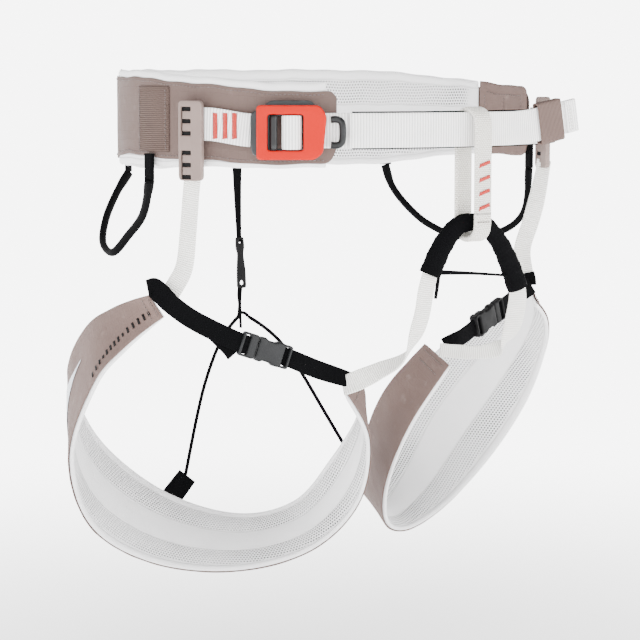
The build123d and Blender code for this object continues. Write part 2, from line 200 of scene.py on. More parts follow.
def mesh_look():
    k = Look("mesh", 0.85, sheen=0.25, specular=0.25)
    along, across = k.pair("zone")
    # staggered oval holes in the two bands between the seams
    line = k.op("DIVIDE", k.v, HOLE_PITCH)
    du = k.centred(k.shifted(line, k.u, HOLE_PITCH))
    dv = k.centred(line)
    far = k.op("ADD", k.times(du, du), k.times(dv, dv))
    hole = k.step(far, 0.13, 0.04)
    lower = k.times(k.step(across, SEAMS[0] + 0.01, SEAMS[0] + 0.025),
                    k.step(across, SEAMS[1] + 0.005, SEAMS[1] - 0.02))
    upper = k.times(k.step(across, SEAMS[2] - 0.005, SEAMS[2] + 0.02),
                    k.step(across, SEAMS[3], SEAMS[3] - 0.02))
    band = k.op("ADD", lower, upper)
    ends = k.times(k.step(along, 0.012, 0.03), k.step(along, 0.99, 0.975))
    open_mesh = k.times(k.times(hole, band), ends)
    patchy = k.step(k.noise(26, 1), 0.34, 0.66)
    painted_hole_shade = k.times(open_mesh, k.op("MULTIPLY_ADD", patchy, 0.45, 0.55))
    seam = 0.0
    for s in SEAMS:
        d = k.op("ABSOLUTE", k.op("SUBTRACT", across, s))
        seam = k.op("MAXIMUM", seam, k.step(d, 0.012, 0.003))
    knit = k.times(k.wave(k.u, 0.62), k.wave(k.v, 0.5))
    base = k.mix(k.noise(45, 2), srgb(238, 237, 237), srgb(226, 225, 226))
    base = k.mix(k.times(knit, 0.18), base, srgb(176, 175, 178))
    # Painted shade: the inside of each hole is coloured dark grey, in patches of varying strength.
    colour = k.mix(painted_hole_shade, base, srgb(62, 60, 62))
    colour = k.mix(k.times(seam, 0.22), colour, srgb(160, 158, 160))
    height = k.sum((open_mesh, -0.8), (knit, 0.16), (seam, -0.7), (k.noise(240, 2), 0.35))
    k.done(colour, height, 0.55)


# A colour factor below 1 gives a darker copy of the cloth, which paints shade.
def taupe_cloth_look(name, painted_shade_factor):
    k = Look(name, 0.8, sheen=0.03, specular=0.12)

    def shade(*rgb):
        return srgb(*(painted_shade_factor * c for c in rgb))

    weave = k.times(k.wave(k.u, 0.7), k.wave(k.v, 0.7))
    rip = k.op("MAXIMUM", k.step(k.wave(k.u, 5.2), 0.985, 1.0), k.step(k.wave(k.v, 5.2), 0.985, 1.0))
    base = k.mix(k.noise(28, 3), shade(110, 92, 86), shade(97, 80, 75))
    base = k.mix(k.times(weave, 0.16), base, shade(84, 70, 66))
    scuff = k.step(k.noise(130, 5), 0.6, 0.78)
    colour = k.mix(k.times(scuff, 0.3), base, shade(140, 124, 118))
    height = k.sum((weave, 0.14), (rip, 0.1), (k.noise(60, 3), 1.5), (k.noise(190, 2), 0.35))
    rough = k.op("MULTIPLY_ADD", k.noise(90), 0.2, 0.6)
    k.done(colour, height, 0.6, rough)


def webbing_look(name, light, dark, rib, across_rib=False, groove_shade_strength=0.75, sheen=0.08):
    k = Look(name, 0.75, sheen=sheen, specular=0.15)
    light, dark = srgb(*light), srgb(*dark)
    lay = k.v if across_rib else k.u
    other = k.u if across_rib else k.v
    ridge = k.op("POWER", k.wave(lay, rib), 0.6)
    thread = k.wave(other, 0.55)
    worn = k.step(k.noise(75, 4), 0.4, 0.75)
    base = k.mix(worn, light, tuple(0.93 * c for c in light[:3]) + (1.0,))
    # Painted shade: the colour darkens toward the dark colour in the grooves between the ribs; the same dark
    # colour also marks the cross threads.
    painted_groove_shade = k.times(k.op("SUBTRACT", 1.0, ridge), groove_shade_strength)
    colour = k.mix(painted_groove_shade, base, dark)
    colour = k.mix(k.times(thread, 0.1), colour, dark)
    height = k.sum((ridge, 0.9), (thread, 0.12), (k.noise(300, 2), 0.2))
    k.done(colour, height, 0.35)


def belay_look():
    k = Look("belay_webbing", 0.8, sheen=0.25, specular=0.25)
    # plump yarns in short bricks, each row half a brick on
    line = k.op("DIVIDE", k.u, 1.15)
    brick = k.shifted(line, k.v, 1.9)
    du = k.op("ABSOLUTE", k.centred(line))
    dv = k.op("ABSOLUTE", k.centred(brick))
    yarn = k.times(k.step(du, 0.5, 0.2), k.step(dv, 0.5, 0.3))
    base = k.mix(k.noise(60, 3), srgb(238, 236, 230), srgb(226, 222, 213))
    # Painted shade: darker in the gaps between the yarns.
    colour = k.mix(k.times(k.op("SUBTRACT", 1.0, yarn), 0.75), base, srgb(188, 182, 170))
    height = k.sum((yarn, 1.0), (k.noise(260, 2), 0.3))
    k.done(colour, height, 0.45)


def black_webbing_look():
    k = Look("black_webbing", 0.9, specular=0.04)
    twill = k.wave(k.op("ADD", k.u, k.v), 1.1)
    yarn = k.times(twill, k.wave(k.v, 0.8))
    base = k.mix(k.noise(70, 4), srgb(3, 3, 4), srgb(7, 7, 8))
    colour = k.mix(k.times(yarn, 0.45), base, srgb(15, 15, 17))
    k.done(colour, k.sum((yarn, 0.7), (k.noise(220, 3), 0.5)), 0.3)


def hard_look(name, light, dark, rough, metallic=0.0, specular=0.5, grain=900, wear=None):
    """Moulded plastic or finished metal: fine grain, slow colour drift and rubbed edges."""
    k = Look(name, rough, metallic=metallic, specular=specular)
    light, dark, wear = (srgb(*c) for c in (light, dark, wear or light))
    edge = k.step(k.add("ShaderNodeNewGeometry").outputs["Pointiness"], 0.515, 0.56)
    base = k.mix(k.noise(55, 3), light, dark)
    rubbed = k.times(edge, k.step(k.noise(210, 4), 0.42, 0.62))
    colour = k.mix(k.times(rubbed, 0.5), base, wear)
    bevel = k.add("ShaderNodeBevel", Radius=0.00035)
    bump = k.add("ShaderNodeBump", Height=k.noise(grain, 4), Distance=0.0001, Strength=0.6,
                 Normal=bevel.outputs[0])
    k.set(k.shader, "Normal", bump.outputs[0])
    k.done(colour, rough=k.op("MULTIPLY_ADD", k.noise(160, 4), 0.22, rough - 0.11))


def reflective_look():
    k = Look("reflective", 0.42, metallic=0.15, specular=0.6)
    grid = k.op("MAXIMUM", k.step(k.wave(k.op("ADD", k.u, k.v), 1.6), 0.9, 1.0),
                k.step(k.wave(k.op("SUBTRACT", k.u, k.v), 1.6), 0.9, 1.0))
    base = k.mix(k.noise(50, 3), srgb(206, 210, 217), srgb(188, 192, 200))
    colour = k.mix(k.times(grid, 0.35), base, srgb(176, 181, 190))
    k.done(colour, k.sum((grid, -0.5), (k.noise(150), 0.5)), 0.2)


def thread_look(name, light, dark):
    k = Look(name, 0.55, sheen=0.3, specular=0.35)
    light, dark = srgb(*light), srgb(*dark)
    ply = k.wave(k.op("ADD", k.u, k.times(k.v, 1.4)), 0.55)
    colour = k.mix(k.times(ply, 0.6), light, dark)
    colour = k.mix(k.times(k.noise(400), 0.25), colour, dark)
    k.done(colour, ply, 0.1)


mesh_look()
taupe_cloth_look("taupe_cloth", 1.0)
# The belt's cloth is a darker copy of taupe_cloth: painted shade on the belt's face, which the lamps light
# more than the legs.
taupe_cloth_look("belt_cloth_painted_shade", 0.86)
webbing_look("white_webbing", (247, 246, 245), (178, 176, 175), 1.75)
webbing_look("fine_webbing", (243, 242, 237), (180, 177, 170), 1.3, groove_shade_strength=0.7)
webbing_look("taupe_webbing", (106, 88, 82), (56, 44, 40), 1.15, True, sheen=0.0)
# The patch webbing is a darker copy of taupe_webbing: painted shade for the shadow among the patch's ribs.
webbing_look("patch_webbing_painted_shade", (90, 74, 68), (42, 32, 29), 1.15, True, sheen=0.0)
belay_look()
black_webbing_look()
reflective_look()
hard_look("orange_alloy", (170, 14, 0), (158, 11, 0), 0.5, specular=0.1, wear=(206, 48, 20))
hard_look("dark_alloy", (25, 29, 31), (18, 21, 23), 0.42, 0.2, 0.35, wear=(96, 100, 102))
hard_look("black_alloy", (8, 9, 10), (5, 5, 6), 0.4, 0.15, 0.3, wear=(70, 72, 74))
hard_look("taupe_plastic", (120, 104, 98), (106, 91, 85), 0.5, specular=0.25, wear=(148, 132, 126))
hard_look("grey_plastic", (19, 20, 22), (13, 14, 15), 0.45, specular=0.2, wear=(70, 71, 73))
hard_look("black_plastic", (9, 9, 10), (5, 5, 6), 0.55, specular=0.1, wear=(38, 38, 40))
hard_look("black_rubber", (4, 4, 5), (2, 2, 3), 0.75, specular=0.06, grain=1400)
hard_look("black_print", (7, 6, 6), (4, 4, 4), 0.7, specular=0.2)
thread_look("orange_thread", (196, 30, 6), (150, 16, 3))
thread_look("taupe_thread", (98, 82, 77), (66, 54, 50))
thread_look("white_thread", (236, 235, 232), (196, 194, 190))


# ---------------------------------------------------------------- shape helpers
SHARP = radians(32)                  # edges that turn more than this stay crisp
CLOTH_STEPS = 20
SWELL_CAP = 0.8                      # mm that the simulation may move a point


def unit(v):
    v = np.asarray(v, float)
    return v / np.maximum(np.linalg.norm(v, axis=-1, keepdims=True), 1e-9)


def smoothstep(x):
    x = np.clip(x, 0.0, 1.0)
    return x * x * (3 - 2 * x)


def catmull(rows, per_span):
    """Catmull-Rom through the rows, per_span samples in each span."""
    rows = np.asarray(rows, float)
    p = np.concatenate([[rows[0]], rows, [rows[-1]]])
    t = np.arange(per_span)[:, None] / per_span
    out = []
    for i in range(1, len(p) - 2):
        a, b, c, d = p[i - 1:i + 3]
        bend = (2 * a - 5 * b + 4 * c - d) * t ** 2
        out.append(0.5 * (2 * b + (c - a) * t + bend + (3 * b - a - 3 * c + d) * t ** 3))
    return np.concatenate(out + [rows[-1:]])


def lengths(points):
    return np.concatenate([[0], np.cumsum(np.linalg.norm(np.diff(points, axis=0), axis=1))])


def even(rows, step):
    """The rows resampled evenly along the length of their first three columns."""
    s = lengths(rows[:, :3])
    at = np.linspace(0, s[-1], max(3, int(round(s[-1] / step)) + 1))
    return np.stack([np.interp(at, s, rows[:, c]) for c in range(rows.shape[1])], axis=1)


def smooth_line(points, step):
    """Points every step mm along the Catmull-Rom curve through the given ones."""
    return even(catmull(points, 8), step)


def build(name, points, faces, look, fabric, zone=None):
    """A mesh object from points in mm, with fabric coordinates in mm for each point."""
    mesh = bpy.data.meshes.new(name)
    mesh.from_pydata((np.asarray(points, float) * MM).tolist(), [], [tuple(int(i) for i in f) for f in faces])
    index = np.zeros(len(mesh.loops), np.int32)
    mesh.loops.foreach_get("vertex_index", index)
    for title, values in (("fabric", fabric), ("zone", zone)):
        if values is not None:
            layer = mesh.uv_layers.new(name=title)
            layer.data.foreach_set("uv", np.asarray(values, np.float32)[index].ravel())
    shape = bmesh.new()
    shape.from_mesh(mesh)
    bmesh.ops.recalc_face_normals(shape, faces=shape.faces)
    shape.to_mesh(mesh)
    shape.free()
    mesh.shade_smooth()
    mesh.materials.append(LOOKS[look])
    obj = new_object(name, mesh)
    return obj


def hold(obj, body, *nodes):
    """Rides obj on a body; when body is a (body, body, start, end) tuple in mm it only bakes obj's place into
    its mesh, and the tuple is not used; nodes are what it stands for.
    """
    if isinstance(body, str):
        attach(obj, body)
    else:
        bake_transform(obj)
    if nodes:
        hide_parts(*nodes)
    return obj


def ring_faces(rings, around, closed=False):
    faces = []
    for i in range(rings if closed else rings - 1):
        j = (i + 1) % rings
        for k in range(around):
            n = (k + 1) % around
            faces.append((i * around + k, i * around + n, j * around + n, j * around + k))
    if not closed:
        faces.append(range(around - 1, -1, -1))
        faces.append(range((rings - 1) * around, rings * around))
    return faces


def strap_section(width, thick):
    """(across, out) round a flat strap with rounded edges."""
    r = thick / 2
    xs = np.linspace(-width / 2 + r, width / 2 - r, 7)
    turn = [radians(a) for a in (30, 60, 90, 120, 150)]
    pts = [(x, r) for x in xs]
    pts += [(width / 2 - r + r * sin(t), r * cos(t)) for t in turn]
    pts += [(x, -r) for x in xs[::-1]]
    pts += [(-width / 2 + r - r * sin(t), -r * cos(t)) for t in turn]
    return np.array(pts)


def strap_rings(line, wide, widths, thick, closed=False, crown=0.0):
    """Rings of a strap's surface and their fabric coordinates; line and wide are sampled rows in mm."""
    if closed:
        along = unit(np.roll(line, -1, 0) - np.roll(line, 1, 0))
    else:
        along = unit(np.gradient(line, axis=0))
    wide = unit(wide - along * (wide * along).sum(1, keepdims=True))
    face = np.cross(along, wide)
    s = lengths(line)
    points, fabric = [], []
    for i in range(len(line)):
        section = strap_section(widths[i], thick)
        lift = crown * (1 - (2 * section[:, 0] / widths[i]) ** 2)
        points.append(line[i] + section[:, :1] * wide[i] + (section[:, 1] + lift)[:, None] * face[i])
        fabric.append(np.stack([np.full(len(section), s[i]), section[:, 0]], axis=1))
    return np.concatenate(points), np.concatenate(fabric), len(section)


def strap(name, look, path, wide, width, thick=1.4, step=2.0, closed=False, crown=0.0):
    """A flat strap along path; wide is its width direction and width its breadth, one or one per point."""
    path = np.asarray(path, float)
    wide = np.broadcast_to(np.asarray(wide, float), path.shape)
    width = np.broadcast_to(np.asarray(width, float), (len(path),))
    rows = np.column_stack([path, wide, width])
    if closed:
        rows = np.concatenate([rows[-2:], rows, rows[:3]])
        rows = catmull(rows, 8)[16:-16]
        rows = even(rows, step)[:-1]
    else:
        rows = smooth_line(rows, step)
    points, fabric, around = strap_rings(rows[:, :3], rows[:, 3:6], rows[:, 6], thick, closed, crown)
    return build(name, points, ring_faces(len(rows), around, closed), look, fabric)


def tube_rings(line, radius, flat=1.0, wide=None, sides=16):
    """Round or flattened tube; radius may change along it. wide is the direction of the longer half width."""
    along = unit(np.gradient(line, axis=0))
    ref = np.zeros_like(line)
    start = np.array([0.0, 0.0, 1.0]) if abs(along[0][2]) < 0.9 else np.array([1.0, 0.0, 0.0])
    for i in range(len(line)):
        base = start if wide is None else wide[i]
        ref[i] = unit(base - along[i] * base.dot(along[i]))
        start = ref[i]
    other = np.cross(along, ref)
    s = lengths(line)
    radius = np.broadcast_to(np.asarray(radius, float), (len(line),))
    turn = np.linspace(0, 2 * pi, sides, endpoint=False)
    across, up = np.cos(turn)[:, None], np.sin(turn)[:, None]
    points, fabric = [], []
    for i in range(len(line)):
        points.append(line[i] + (across * ref[i] * radius[i] + up * other[i] * radius[i] * flat))
        fabric.append(np.stack([np.full(sides, s[i]), np.abs(turn - pi) * radius[i]], axis=1))
    return np.concatenate(points), np.concatenate(fabric)


def tube(name, look, line, radius, flat=1.0, wide=None, sides=16):
    points, fabric = tube_rings(line, radius, flat, wide, sides)
    return build(name, points, ring_faces(len(line), sides), look, fabric)


class Bundle:
    """Many small shapes gathered into one piece: stitches, bartacks, moulded ribs."""

    def __init__(self):
        self.points, self.faces, self.fabric = [], [], []
        self.count = 0

    def add(self, points, faces, fabric):
        self.faces += [tuple(i + self.count for i in f) for f in faces]
        self.points.append(points)
        self.fabric.append(fabric)
        self.count += len(points)

    def thread(self, line, radius, sides=6):
        points, fabric = tube_rings(np.asarray(line, float), radius, sides=sides)
        self.add(points, ring_faces(len(line), sides), fabric)

    def stitches(self, line, out, pitch=2.6, length=1.7, radius=0.24):
        """A row of lock stitches along sampled points; out is the surface's outward direction at each."""
        rows = np.column_stack([line, np.broadcast_to(out, np.shape(line))])
        s = lengths(rows[:, :3])
        for a in np.arange(pitch / 2, s[-1] - length / 2, pitch):
            at = a + length / 2 * np.array([-1, -0.62, 0, 0.62, 1])
            p = np.stack([np.interp(at, s, rows[:, c]) for c in range(6)], axis=1)
            lift = np.array([-0.25, 0.1, 0.2, 0.1, -0.25])[:, None]
            points, fabric = tube_rings(p[:, :3] + unit(p[:, 3:]) * lift,
                                        radius * np.array([0.5, 0.95, 1, 0.95, 0.5]), sides=6)
            self.add(points, ring_faces(5, 6), fabric)

    def bartack(self, centre, along, across, out, length, width=2.6, pitch=0.95, radius=0.36):
        """A dense zigzag of thread: length along, width across."""
        centre = np.asarray(centre, float)
        along, across, out = unit(along), unit(across), unit(out)
        n = int(length / pitch)
        line = []
        for i in range(2 * n + 1):
            side = 1 if i % 2 else -1
            place = centre + along * (i * length / (2 * n) - length / 2) + across * side * width / 2
            line += [place - out * 0.15 - across * side * 0.25, place + out * 0.1 - across * side * 0.5]
        self.thread(line, radius, 5)

    def piece(self, name, look, body):
        obj = build(name, np.concatenate(self.points), self.faces, look, np.concatenate(self.fabric))
        return hold(obj, body)


def slab(name, look, base, out, low, high, rim, across=None):
    """A closed layer of fabric or padding over the grid base, from low to high mm along out."""
    n, m = base.shape[:2]
    s = np.concatenate([np.zeros((1, m)), np.cumsum(np.linalg.norm(np.diff(base, axis=0), axis=2), axis=0)])
    gaps = np.linalg.norm(np.diff(base, axis=1), axis=2)
    w = np.concatenate([np.zeros((n, 1)), np.cumsum(gaps, axis=1)], axis=1)
    edge = np.minimum(np.minimum(s, s[-1:] - s), np.minimum(w, w[:, -1:] - w))
    full = np.sqrt(np.clip(1 - (1 - np.minimum(edge, rim) / rim) ** 2, 0.03, 1))
    low = np.broadcast_to(low, (n, m))
    high = np.broadcast_to(high, (n, m))
    mid = (low + high) / 2
    half = (high - low) / 2 * full
    upper = base + out * (mid + half)[..., None]
    lower = base + out * (mid - half)[..., None]
    points = np.concatenate([upper.reshape(-1, 3), lower.reshape(-1, 3)])
    at = np.arange(n * m).reshape(n, m)
    quads = np.stack([at[:-1, :-1], at[1:, :-1], at[1:, 1:], at[:-1, 1:]], axis=-1).reshape(-1, 4)
    round_it = np.concatenate([at[:-1, 0], at[-1, :-1], at[:0:-1, -1], at[0, :0:-1]])
    nxt = np.roll(round_it, -1)
    wall = np.stack([round_it, nxt, nxt + n * m, round_it + n * m], axis=1)
    faces = np.concatenate([quads, quads[:, ::-1] + n * m, wall])
    middle = s.mean(axis=1, keepdims=True) * np.ones((1, m))
    fabric = np.stack([middle, w - w[:, -1:] / 2], axis=-1).reshape(-1, 2)
    share = np.linspace(0, 1, m) if across is None else across
    shares = np.broadcast_arrays(np.linspace(0, 1, n)[:, None], np.reshape(share, (1, m)))
    zone = np.stack(shares, axis=-1).reshape(-1, 2)
    return build(name, points, faces, look, np.concatenate([fabric, fabric]), np.concatenate([zone, zone]))


def plate(name, look, outlines, thick, place, bevel=0.8, soft=3):
    """A moulded plate with rounded edges, standing from 0 to thick on the plane of place.

    The first outline is its edge and the others are openings, all in mm."""
    curve = bpy.data.curves.new(name, "CURVE")
    curve.dimensions = "2D"
    curve.fill_mode = "BOTH"
    curve.extrude = (thick / 2 - bevel) * MM
    curve.bevel_depth = bevel * MM
    curve.bevel_resolution = soft
    curve.offset = -bevel * MM
    for outline in outlines:
        spline = curve.splines.new("POLY")
        spline.points.add(len(outline) - 1)
        for point, (x, y) in zip(spline.points, outline):
            point.co = (x * MM, y * MM, 0, 1)
        spline.use_cyclic_u = True
    holder = bpy.data.objects.new(name, curve)
    mesh = bpy.data.meshes.new_from_object(holder)
    bpy.data.objects.remove(holder)
    mesh.transform(place @ Matrix.Translation((0, 0, thick / 2 * MM)))
    mesh.materials.clear()
    mesh.materials.append(LOOKS[look])
    obj = new_object(name, mesh)
    smooth_by_angle(obj)
    return obj


def smooth_by_angle(obj):
    shape = bmesh.new()
    shape.from_mesh(obj.data)
    bmesh.ops.remove_doubles(shape, verts=shape.verts, dist=1e-6)
    for face in shape.faces:
        face.smooth = True
    for edge in shape.edges:
        if len(edge.link_faces) == 2 and edge.calc_face_angle(0) > SHARP:
            edge.smooth = False
    shape.to_mesh(obj.data)
    shape.free()


def corners(points, radius, steps=5):
    """A closed outline with its corners rounded."""
    pts = [np.array(p, float) for p in points]
    out = []
    for i, p in enumerate(pts):
        a = pts[i - 1] - p
        b = pts[(i + 1) % len(pts)] - p
        r = min(radius, np.linalg.norm(a) * 0.48, np.linalg.norm(b) * 0.48)
        p0 = p + unit(a) * r
        p2 = p + unit(b) * r
        for t in np.linspace(0, 1, steps):
            out.append(tuple((1 - t) ** 2 * p0 + 2 * t * (1 - t) * p + t * t * p2))
    return out


def box_outline(cx, cy, w, h, radius):
    return corners([(cx - w / 2, cy - h / 2), (cx + w / 2, cy - h / 2), (cx + w / 2, cy + h / 2),
                    (cx - w / 2, cy + h / 2)], radius)


def plane(origin, x_dir, out):
    """A matrix whose first axis is x_dir and third axis is out, at origin in mm."""
    z = unit(out)
    x = unit(np.asarray(x_dir, float) - z * np.dot(x_dir, z))
    y = np.cross(z, x)
    m = Matrix(np.array([x, y, z]).T.tolist()).to_4x4()
    return Matrix.Translation(to_m(origin)) @ m


def middle_of(place, thick):
    """The plane on which a plate this thick stands half to either side of place."""
    return place @ Matrix.Translation((0, 0, -thick / 2 * MM))


def inflate(obj, pinned):
    """Cloth under pressure, held along its seams, applied to the mesh; no point moves past SWELL_CAP."""
    n = len(obj.data.vertices)
    start = np.zeros(n * 3, np.float32)
    obj.data.vertices.foreach_get("co", start)
    start = start.reshape(-1, 3)
    group = obj.vertex_groups.new(name="seams")
    group.add([int(i) for i in np.flatnonzero(pinned)], 1.0, "REPLACE")
    cloth = obj.modifiers.new("cloth", "CLOTH")
    for title, value in dict(quality=5, mass=0.2, tension_stiffness=12, compression_stiffness=12,
                             shear_stiffness=5, bending_stiffness=0.4, use_pressure=True,
                             uniform_pressure_force=4, vertex_group_mass="seams").items():
        setattr(cloth.settings, title, value)
    cloth.settings.effector_weights.gravity = 0
    cloth.point_cache.frame_start = 1
    cloth.point_cache.frame_end = CLOTH_STEPS
    for step in range(1, CLOTH_STEPS + 1):
        bpy.context.scene.frame_set(step)
    graph = bpy.context.evaluated_depsgraph_get()
    done = obj.evaluated_get(graph).to_mesh()
    moved = np.zeros(n * 3, np.float32)
    done.vertices.foreach_get("co", moved)
    obj.modifiers.remove(cloth)
    shift = moved.reshape(-1, 3) - start
    size = np.linalg.norm(shift, axis=1, keepdims=True)
    shift *= np.minimum(1.0, SWELL_CAP * MM / np.maximum(size, 1e-9))
    obj.data.vertices.foreach_set("co", (start + shift).ravel())
    obj.data.update()
    obj.vertex_groups.clear()
    bpy.context.scene.frame_set(1)


def subdivide(obj):
    modifier = obj.modifiers.new("soften", "SUBSURF")
    modifier.levels = 1
    modifier.render_levels = 1
    return obj


# ---------------------------------------------------------------- drop-seat cord
CORD = 2.4


def nurbs_line(points):
    """Points along the smooth line of a cord whose route has these control points, in mm."""
    curve = bpy.data.curves.new("route", "CURVE")
    curve.dimensions = "3D"
    spline = curve.splines.new("NURBS")
    spline.points.add(len(points) - 1)
    for point, p in zip(spline.points, points):
        point.co = (p[0] * MM, p[1] * MM, p[2] * MM, 1)
    spline.order_u = 3
    spline.use_endpoint_u = True
    spline.resolution_u = 10
    holder = bpy.data.objects.new("route", curve)
    mesh = bpy.data.meshes.new_from_object(holder)
    line = np.array([v.co for v in mesh.vertices]) / MM
    bpy.data.objects.remove(holder)
    return line


REAR_CORDS = {
    "right": [(-8.5, 101.5, -131), (-24, 95, -139), (-42, 88, -166), (-54, 82.5, -194), (-66, 76, -227.5)],
    "left": [(-0.5, 101.5, -131.5), (16, 95, -142), (32, 87, -169), (46, 79.5, -197), (61.5, 71, -227)],
}
for side, route in REAR_CORDS.items():
    line = nurbs_line(route)
    half = len(line) // 2
    for part, run, mover in (("upper", line[:half + 1], "drop"), ("lower", line[half:], "leg_" + side)):
        cord = tube(f"rear_cord_{side}_{part}", "black_webbing", run, CORD / 2, sides=10)
        ends = (run[-1], run[0]) if part == "upper" else (run[0], run[-1])
        hold(cord, ("harness", mover, ends[0], ends[1]), "rear_cord_" + side)


# ---------------------------------------------------------------- waist belt
WAIST_A = 141.0
WAIST_B = 115.0
RIGHT_END = -33.0
PANEL = -255.0
LEFT_END = -278.0


def belt_normal(angle):
    a = np.radians(np.asarray(angle, float))
    return unit(np.stack([np.sin(a) / WAIST_A, -np.cos(a) / WAIST_B, np.zeros_like(a)], axis=-1))


def belt_point(angle, off, z):
    angle, off, z = np.broadcast_arrays(*(np.asarray(x, float) for x in (angle, off, z)))
    a = np.radians(angle)
    base = np.stack([WAIST_A * np.sin(a), -WAIST_B * np.cos(a), z], axis=-1)
    return base + belt_normal(angle) * off[..., None]


def beside(n):
    """The level direction along the belt where its outward direction is n."""
    return np.array((-n[1], n[0], 0))


def belt_plane(angle, off, z):
    n = belt_normal(angle)
    return plane(belt_point(angle, off, z), beside(n), n)


def lining_top(angle):
    a = -np.asarray(angle, float)
    rise = np.minimum(24 + 7.5 * smoothstep((a - 35) / 65), 21 + 10.5 * smoothstep((279 - a) / 70))
    return rise + 0.35 * np.sin(a * 0.23) + 0.25 * np.sin(a * 0.61 + 1)


def lining_bottom(angle):
    a = -np.asarray(angle, float)
    low = -24.5 - 7.5 * smoothstep((a - 100) / 60) * smoothstep((250 - a) / 30)
    return low + 0.3 * np.sin(a * 0.19 + 2) + 0.25 * np.sin(a * 0.53)


def belt_grid(start, end, bottom, top, share, step=2.2):
    """Grid over the belt: base points on the waist ellipse and their outward directions."""
    angles = np.linspace(start, end, int(abs(end - start) * 2.24 / step) + 2)
    low = bottom(angles)[:, None]
    high = top(angles)[:, None]
    z = low + (high - low) * share[None, :]
    base = belt_point(angles[:, None], 0.0, z)
    out = np.broadcast_to(belt_normal(angles)[:, None, :], base.shape)
    return base, out


def pad_share():
    """Places across a pad: every seam is a column, and the rims are finer."""
    cuts = (0.0,) + SEAMS + (1.0,)
    counts = (3, 5, 6, 5, 3)
    cols = [np.linspace(cuts[i], cuts[i + 1], counts[i], endpoint=False) for i in range(5)]
    return np.concatenate(cols + [[1.0]])


def channels(share):
    """How far each place across a pad stands up between its seams, 0 to 1."""
    cuts = np.array((-0.02,) + SEAMS + (1.02,))
    i = np.clip(np.searchsorted(cuts, share, side="right") - 1, 0, 4)
    t = (share - cuts[i]) / (cuts[i + 1] - cuts[i])
    return np.sin(pi * np.clip(t, 0, 1)) ** 0.7


def padding(name, base, out, share, low, high, puff, body, *nodes):
    """A mesh-faced foam pad: crowned between its seams, swollen by a cloth simulation, and held on its body.
    """
    n, m = base.shape[:2]
    from_end = np.minimum(np.arange(n), n - 1 - np.arange(n))
    crown = channels(share)[None, :] * np.minimum(1, from_end / 2)[:, None]
    obj = slab(name, "mesh", base, out, low - puff * crown, high + 0.25 * crown, rim=1.6, across=share)
    seam = np.min(np.abs(share[:, None] - np.array(SEAMS)[None, :]), axis=1) < 1e-6
    pinned = np.zeros((n, m), bool)
    pinned[:, seam] = True
    pinned[[0, -1], :] = True
    pinned[:, [0, -1]] = True
    inflate(obj, np.concatenate([pinned.ravel(), pinned.ravel()]))
    subdivide(obj)
    hold(obj, body, *nodes)
    return obj


share = pad_share()
base, out = belt_grid(RIGHT_END, PANEL, lining_bottom, lining_top, share, 2.6)
padding("belt_padding", base, out, share, -1.6, 0.9, 1.3, "harness", "waist_lining")


def corner_cut(angles, end, reach, depth):
    """How much an edge draws in near an end, for rounded corners."""
    near = np.clip(1 - np.abs(angles - end) / reach, 0, 1)
    return depth * (1 - np.sqrt(np.clip(1 - near ** 2, 0, 1)))


SHELL_START = -30.5
COVER_LOW = 1.25                     # mm from a pad's own surface to the underside of its cloth cover


def shell_top(angle):
    a = np.asarray(angle, float)
    front = smoothstep((a + 66) / 30)
    edge = lining_top(a) - 4.0 - 1.0 * front
    return edge - corner_cut(a, LEFT_END, 3.2, 7) - corner_cut(a, SHELL_START, 1.6, 4)


def shell_bottom(angle):
    a = np.asarray(angle, float)
    drop = 2.0 * smoothstep((-70 - a) / 20) * smoothstep((a + 120) / 25) - 1.8 * smoothstep((a + 66) / 18)
    edge = lining_bottom(a) + 4.0 + drop
    return edge + corner_cut(a, LEFT_END, 3.2, 7) + corner_cut(a, SHELL_START, 3.5, 9)


def ripple(shape, size, seed, along=9.0, across=3.0):
    """Slow seeded wrinkles over a grid."""
    rng = np.random.default_rng(seed)
    n, m = shape
    i = np.linspace(0, 1, n)[:, None]
    j = np.linspace(0, 1, m)[None, :]
    total = np.zeros(shape)
    for _ in range(7):
        fa, fb = rng.uniform(0.3, 1, 2) * (along, across)
        total += np.sin(2 * pi * (fa * i + fb * j * rng.choice((-1, 1))) + rng.uniform(0, 6)) / 7
    return total * size


cloth_share = np.concatenate([[0, 0.012, 0.03], np.linspace(0.06, 0.94, 13), [0.97, 0.988, 1]])
base, out = belt_grid(SHELL_START, LEFT_END, shell_bottom, shell_top, cloth_share, 2.4)
wrinkle = ripple(base.shape[:2], 0.45, 3, 34, 3)
obj = slab("belt_shell", "belt_cloth_painted_shade", base, out, COVER_LOW, 2.15 + 0.35 * wrinkle, rim=0.8)
hold(subdivide(obj), "harness", "waist_shell", "waist_tongue")

base, out = belt_grid(PANEL - 0.4, LEFT_END, lambda a: lining_bottom(a) + corner_cut(a, LEFT_END, 3.4, 8),
                      lambda a: lining_top(a) - corner_cut(a, LEFT_END, 3.4, 8), cloth_share, 2.0)
obj = slab("belt_end_panel", "taupe_cloth", base, out, -1.9 + 0.3 * ripple(base.shape[:2], 1, 8, 3, 2), 1.0,
           rim=1.2)
hold(subdivide(obj), "harness", "waist_end_panel")


def upright_row(sewn, angle, low, high, off, face=1, pitch=2.4, length=1.6, radius=0.22):
    """Stitches up the belt at one angle, on its outer side, or on its inner side when face is -1."""
    at = np.full(24, angle)
    heights = np.linspace(low, high, 24)
    sewn.stitches(belt_point(at, off, heights), face * belt_normal(at), pitch, length, radius)


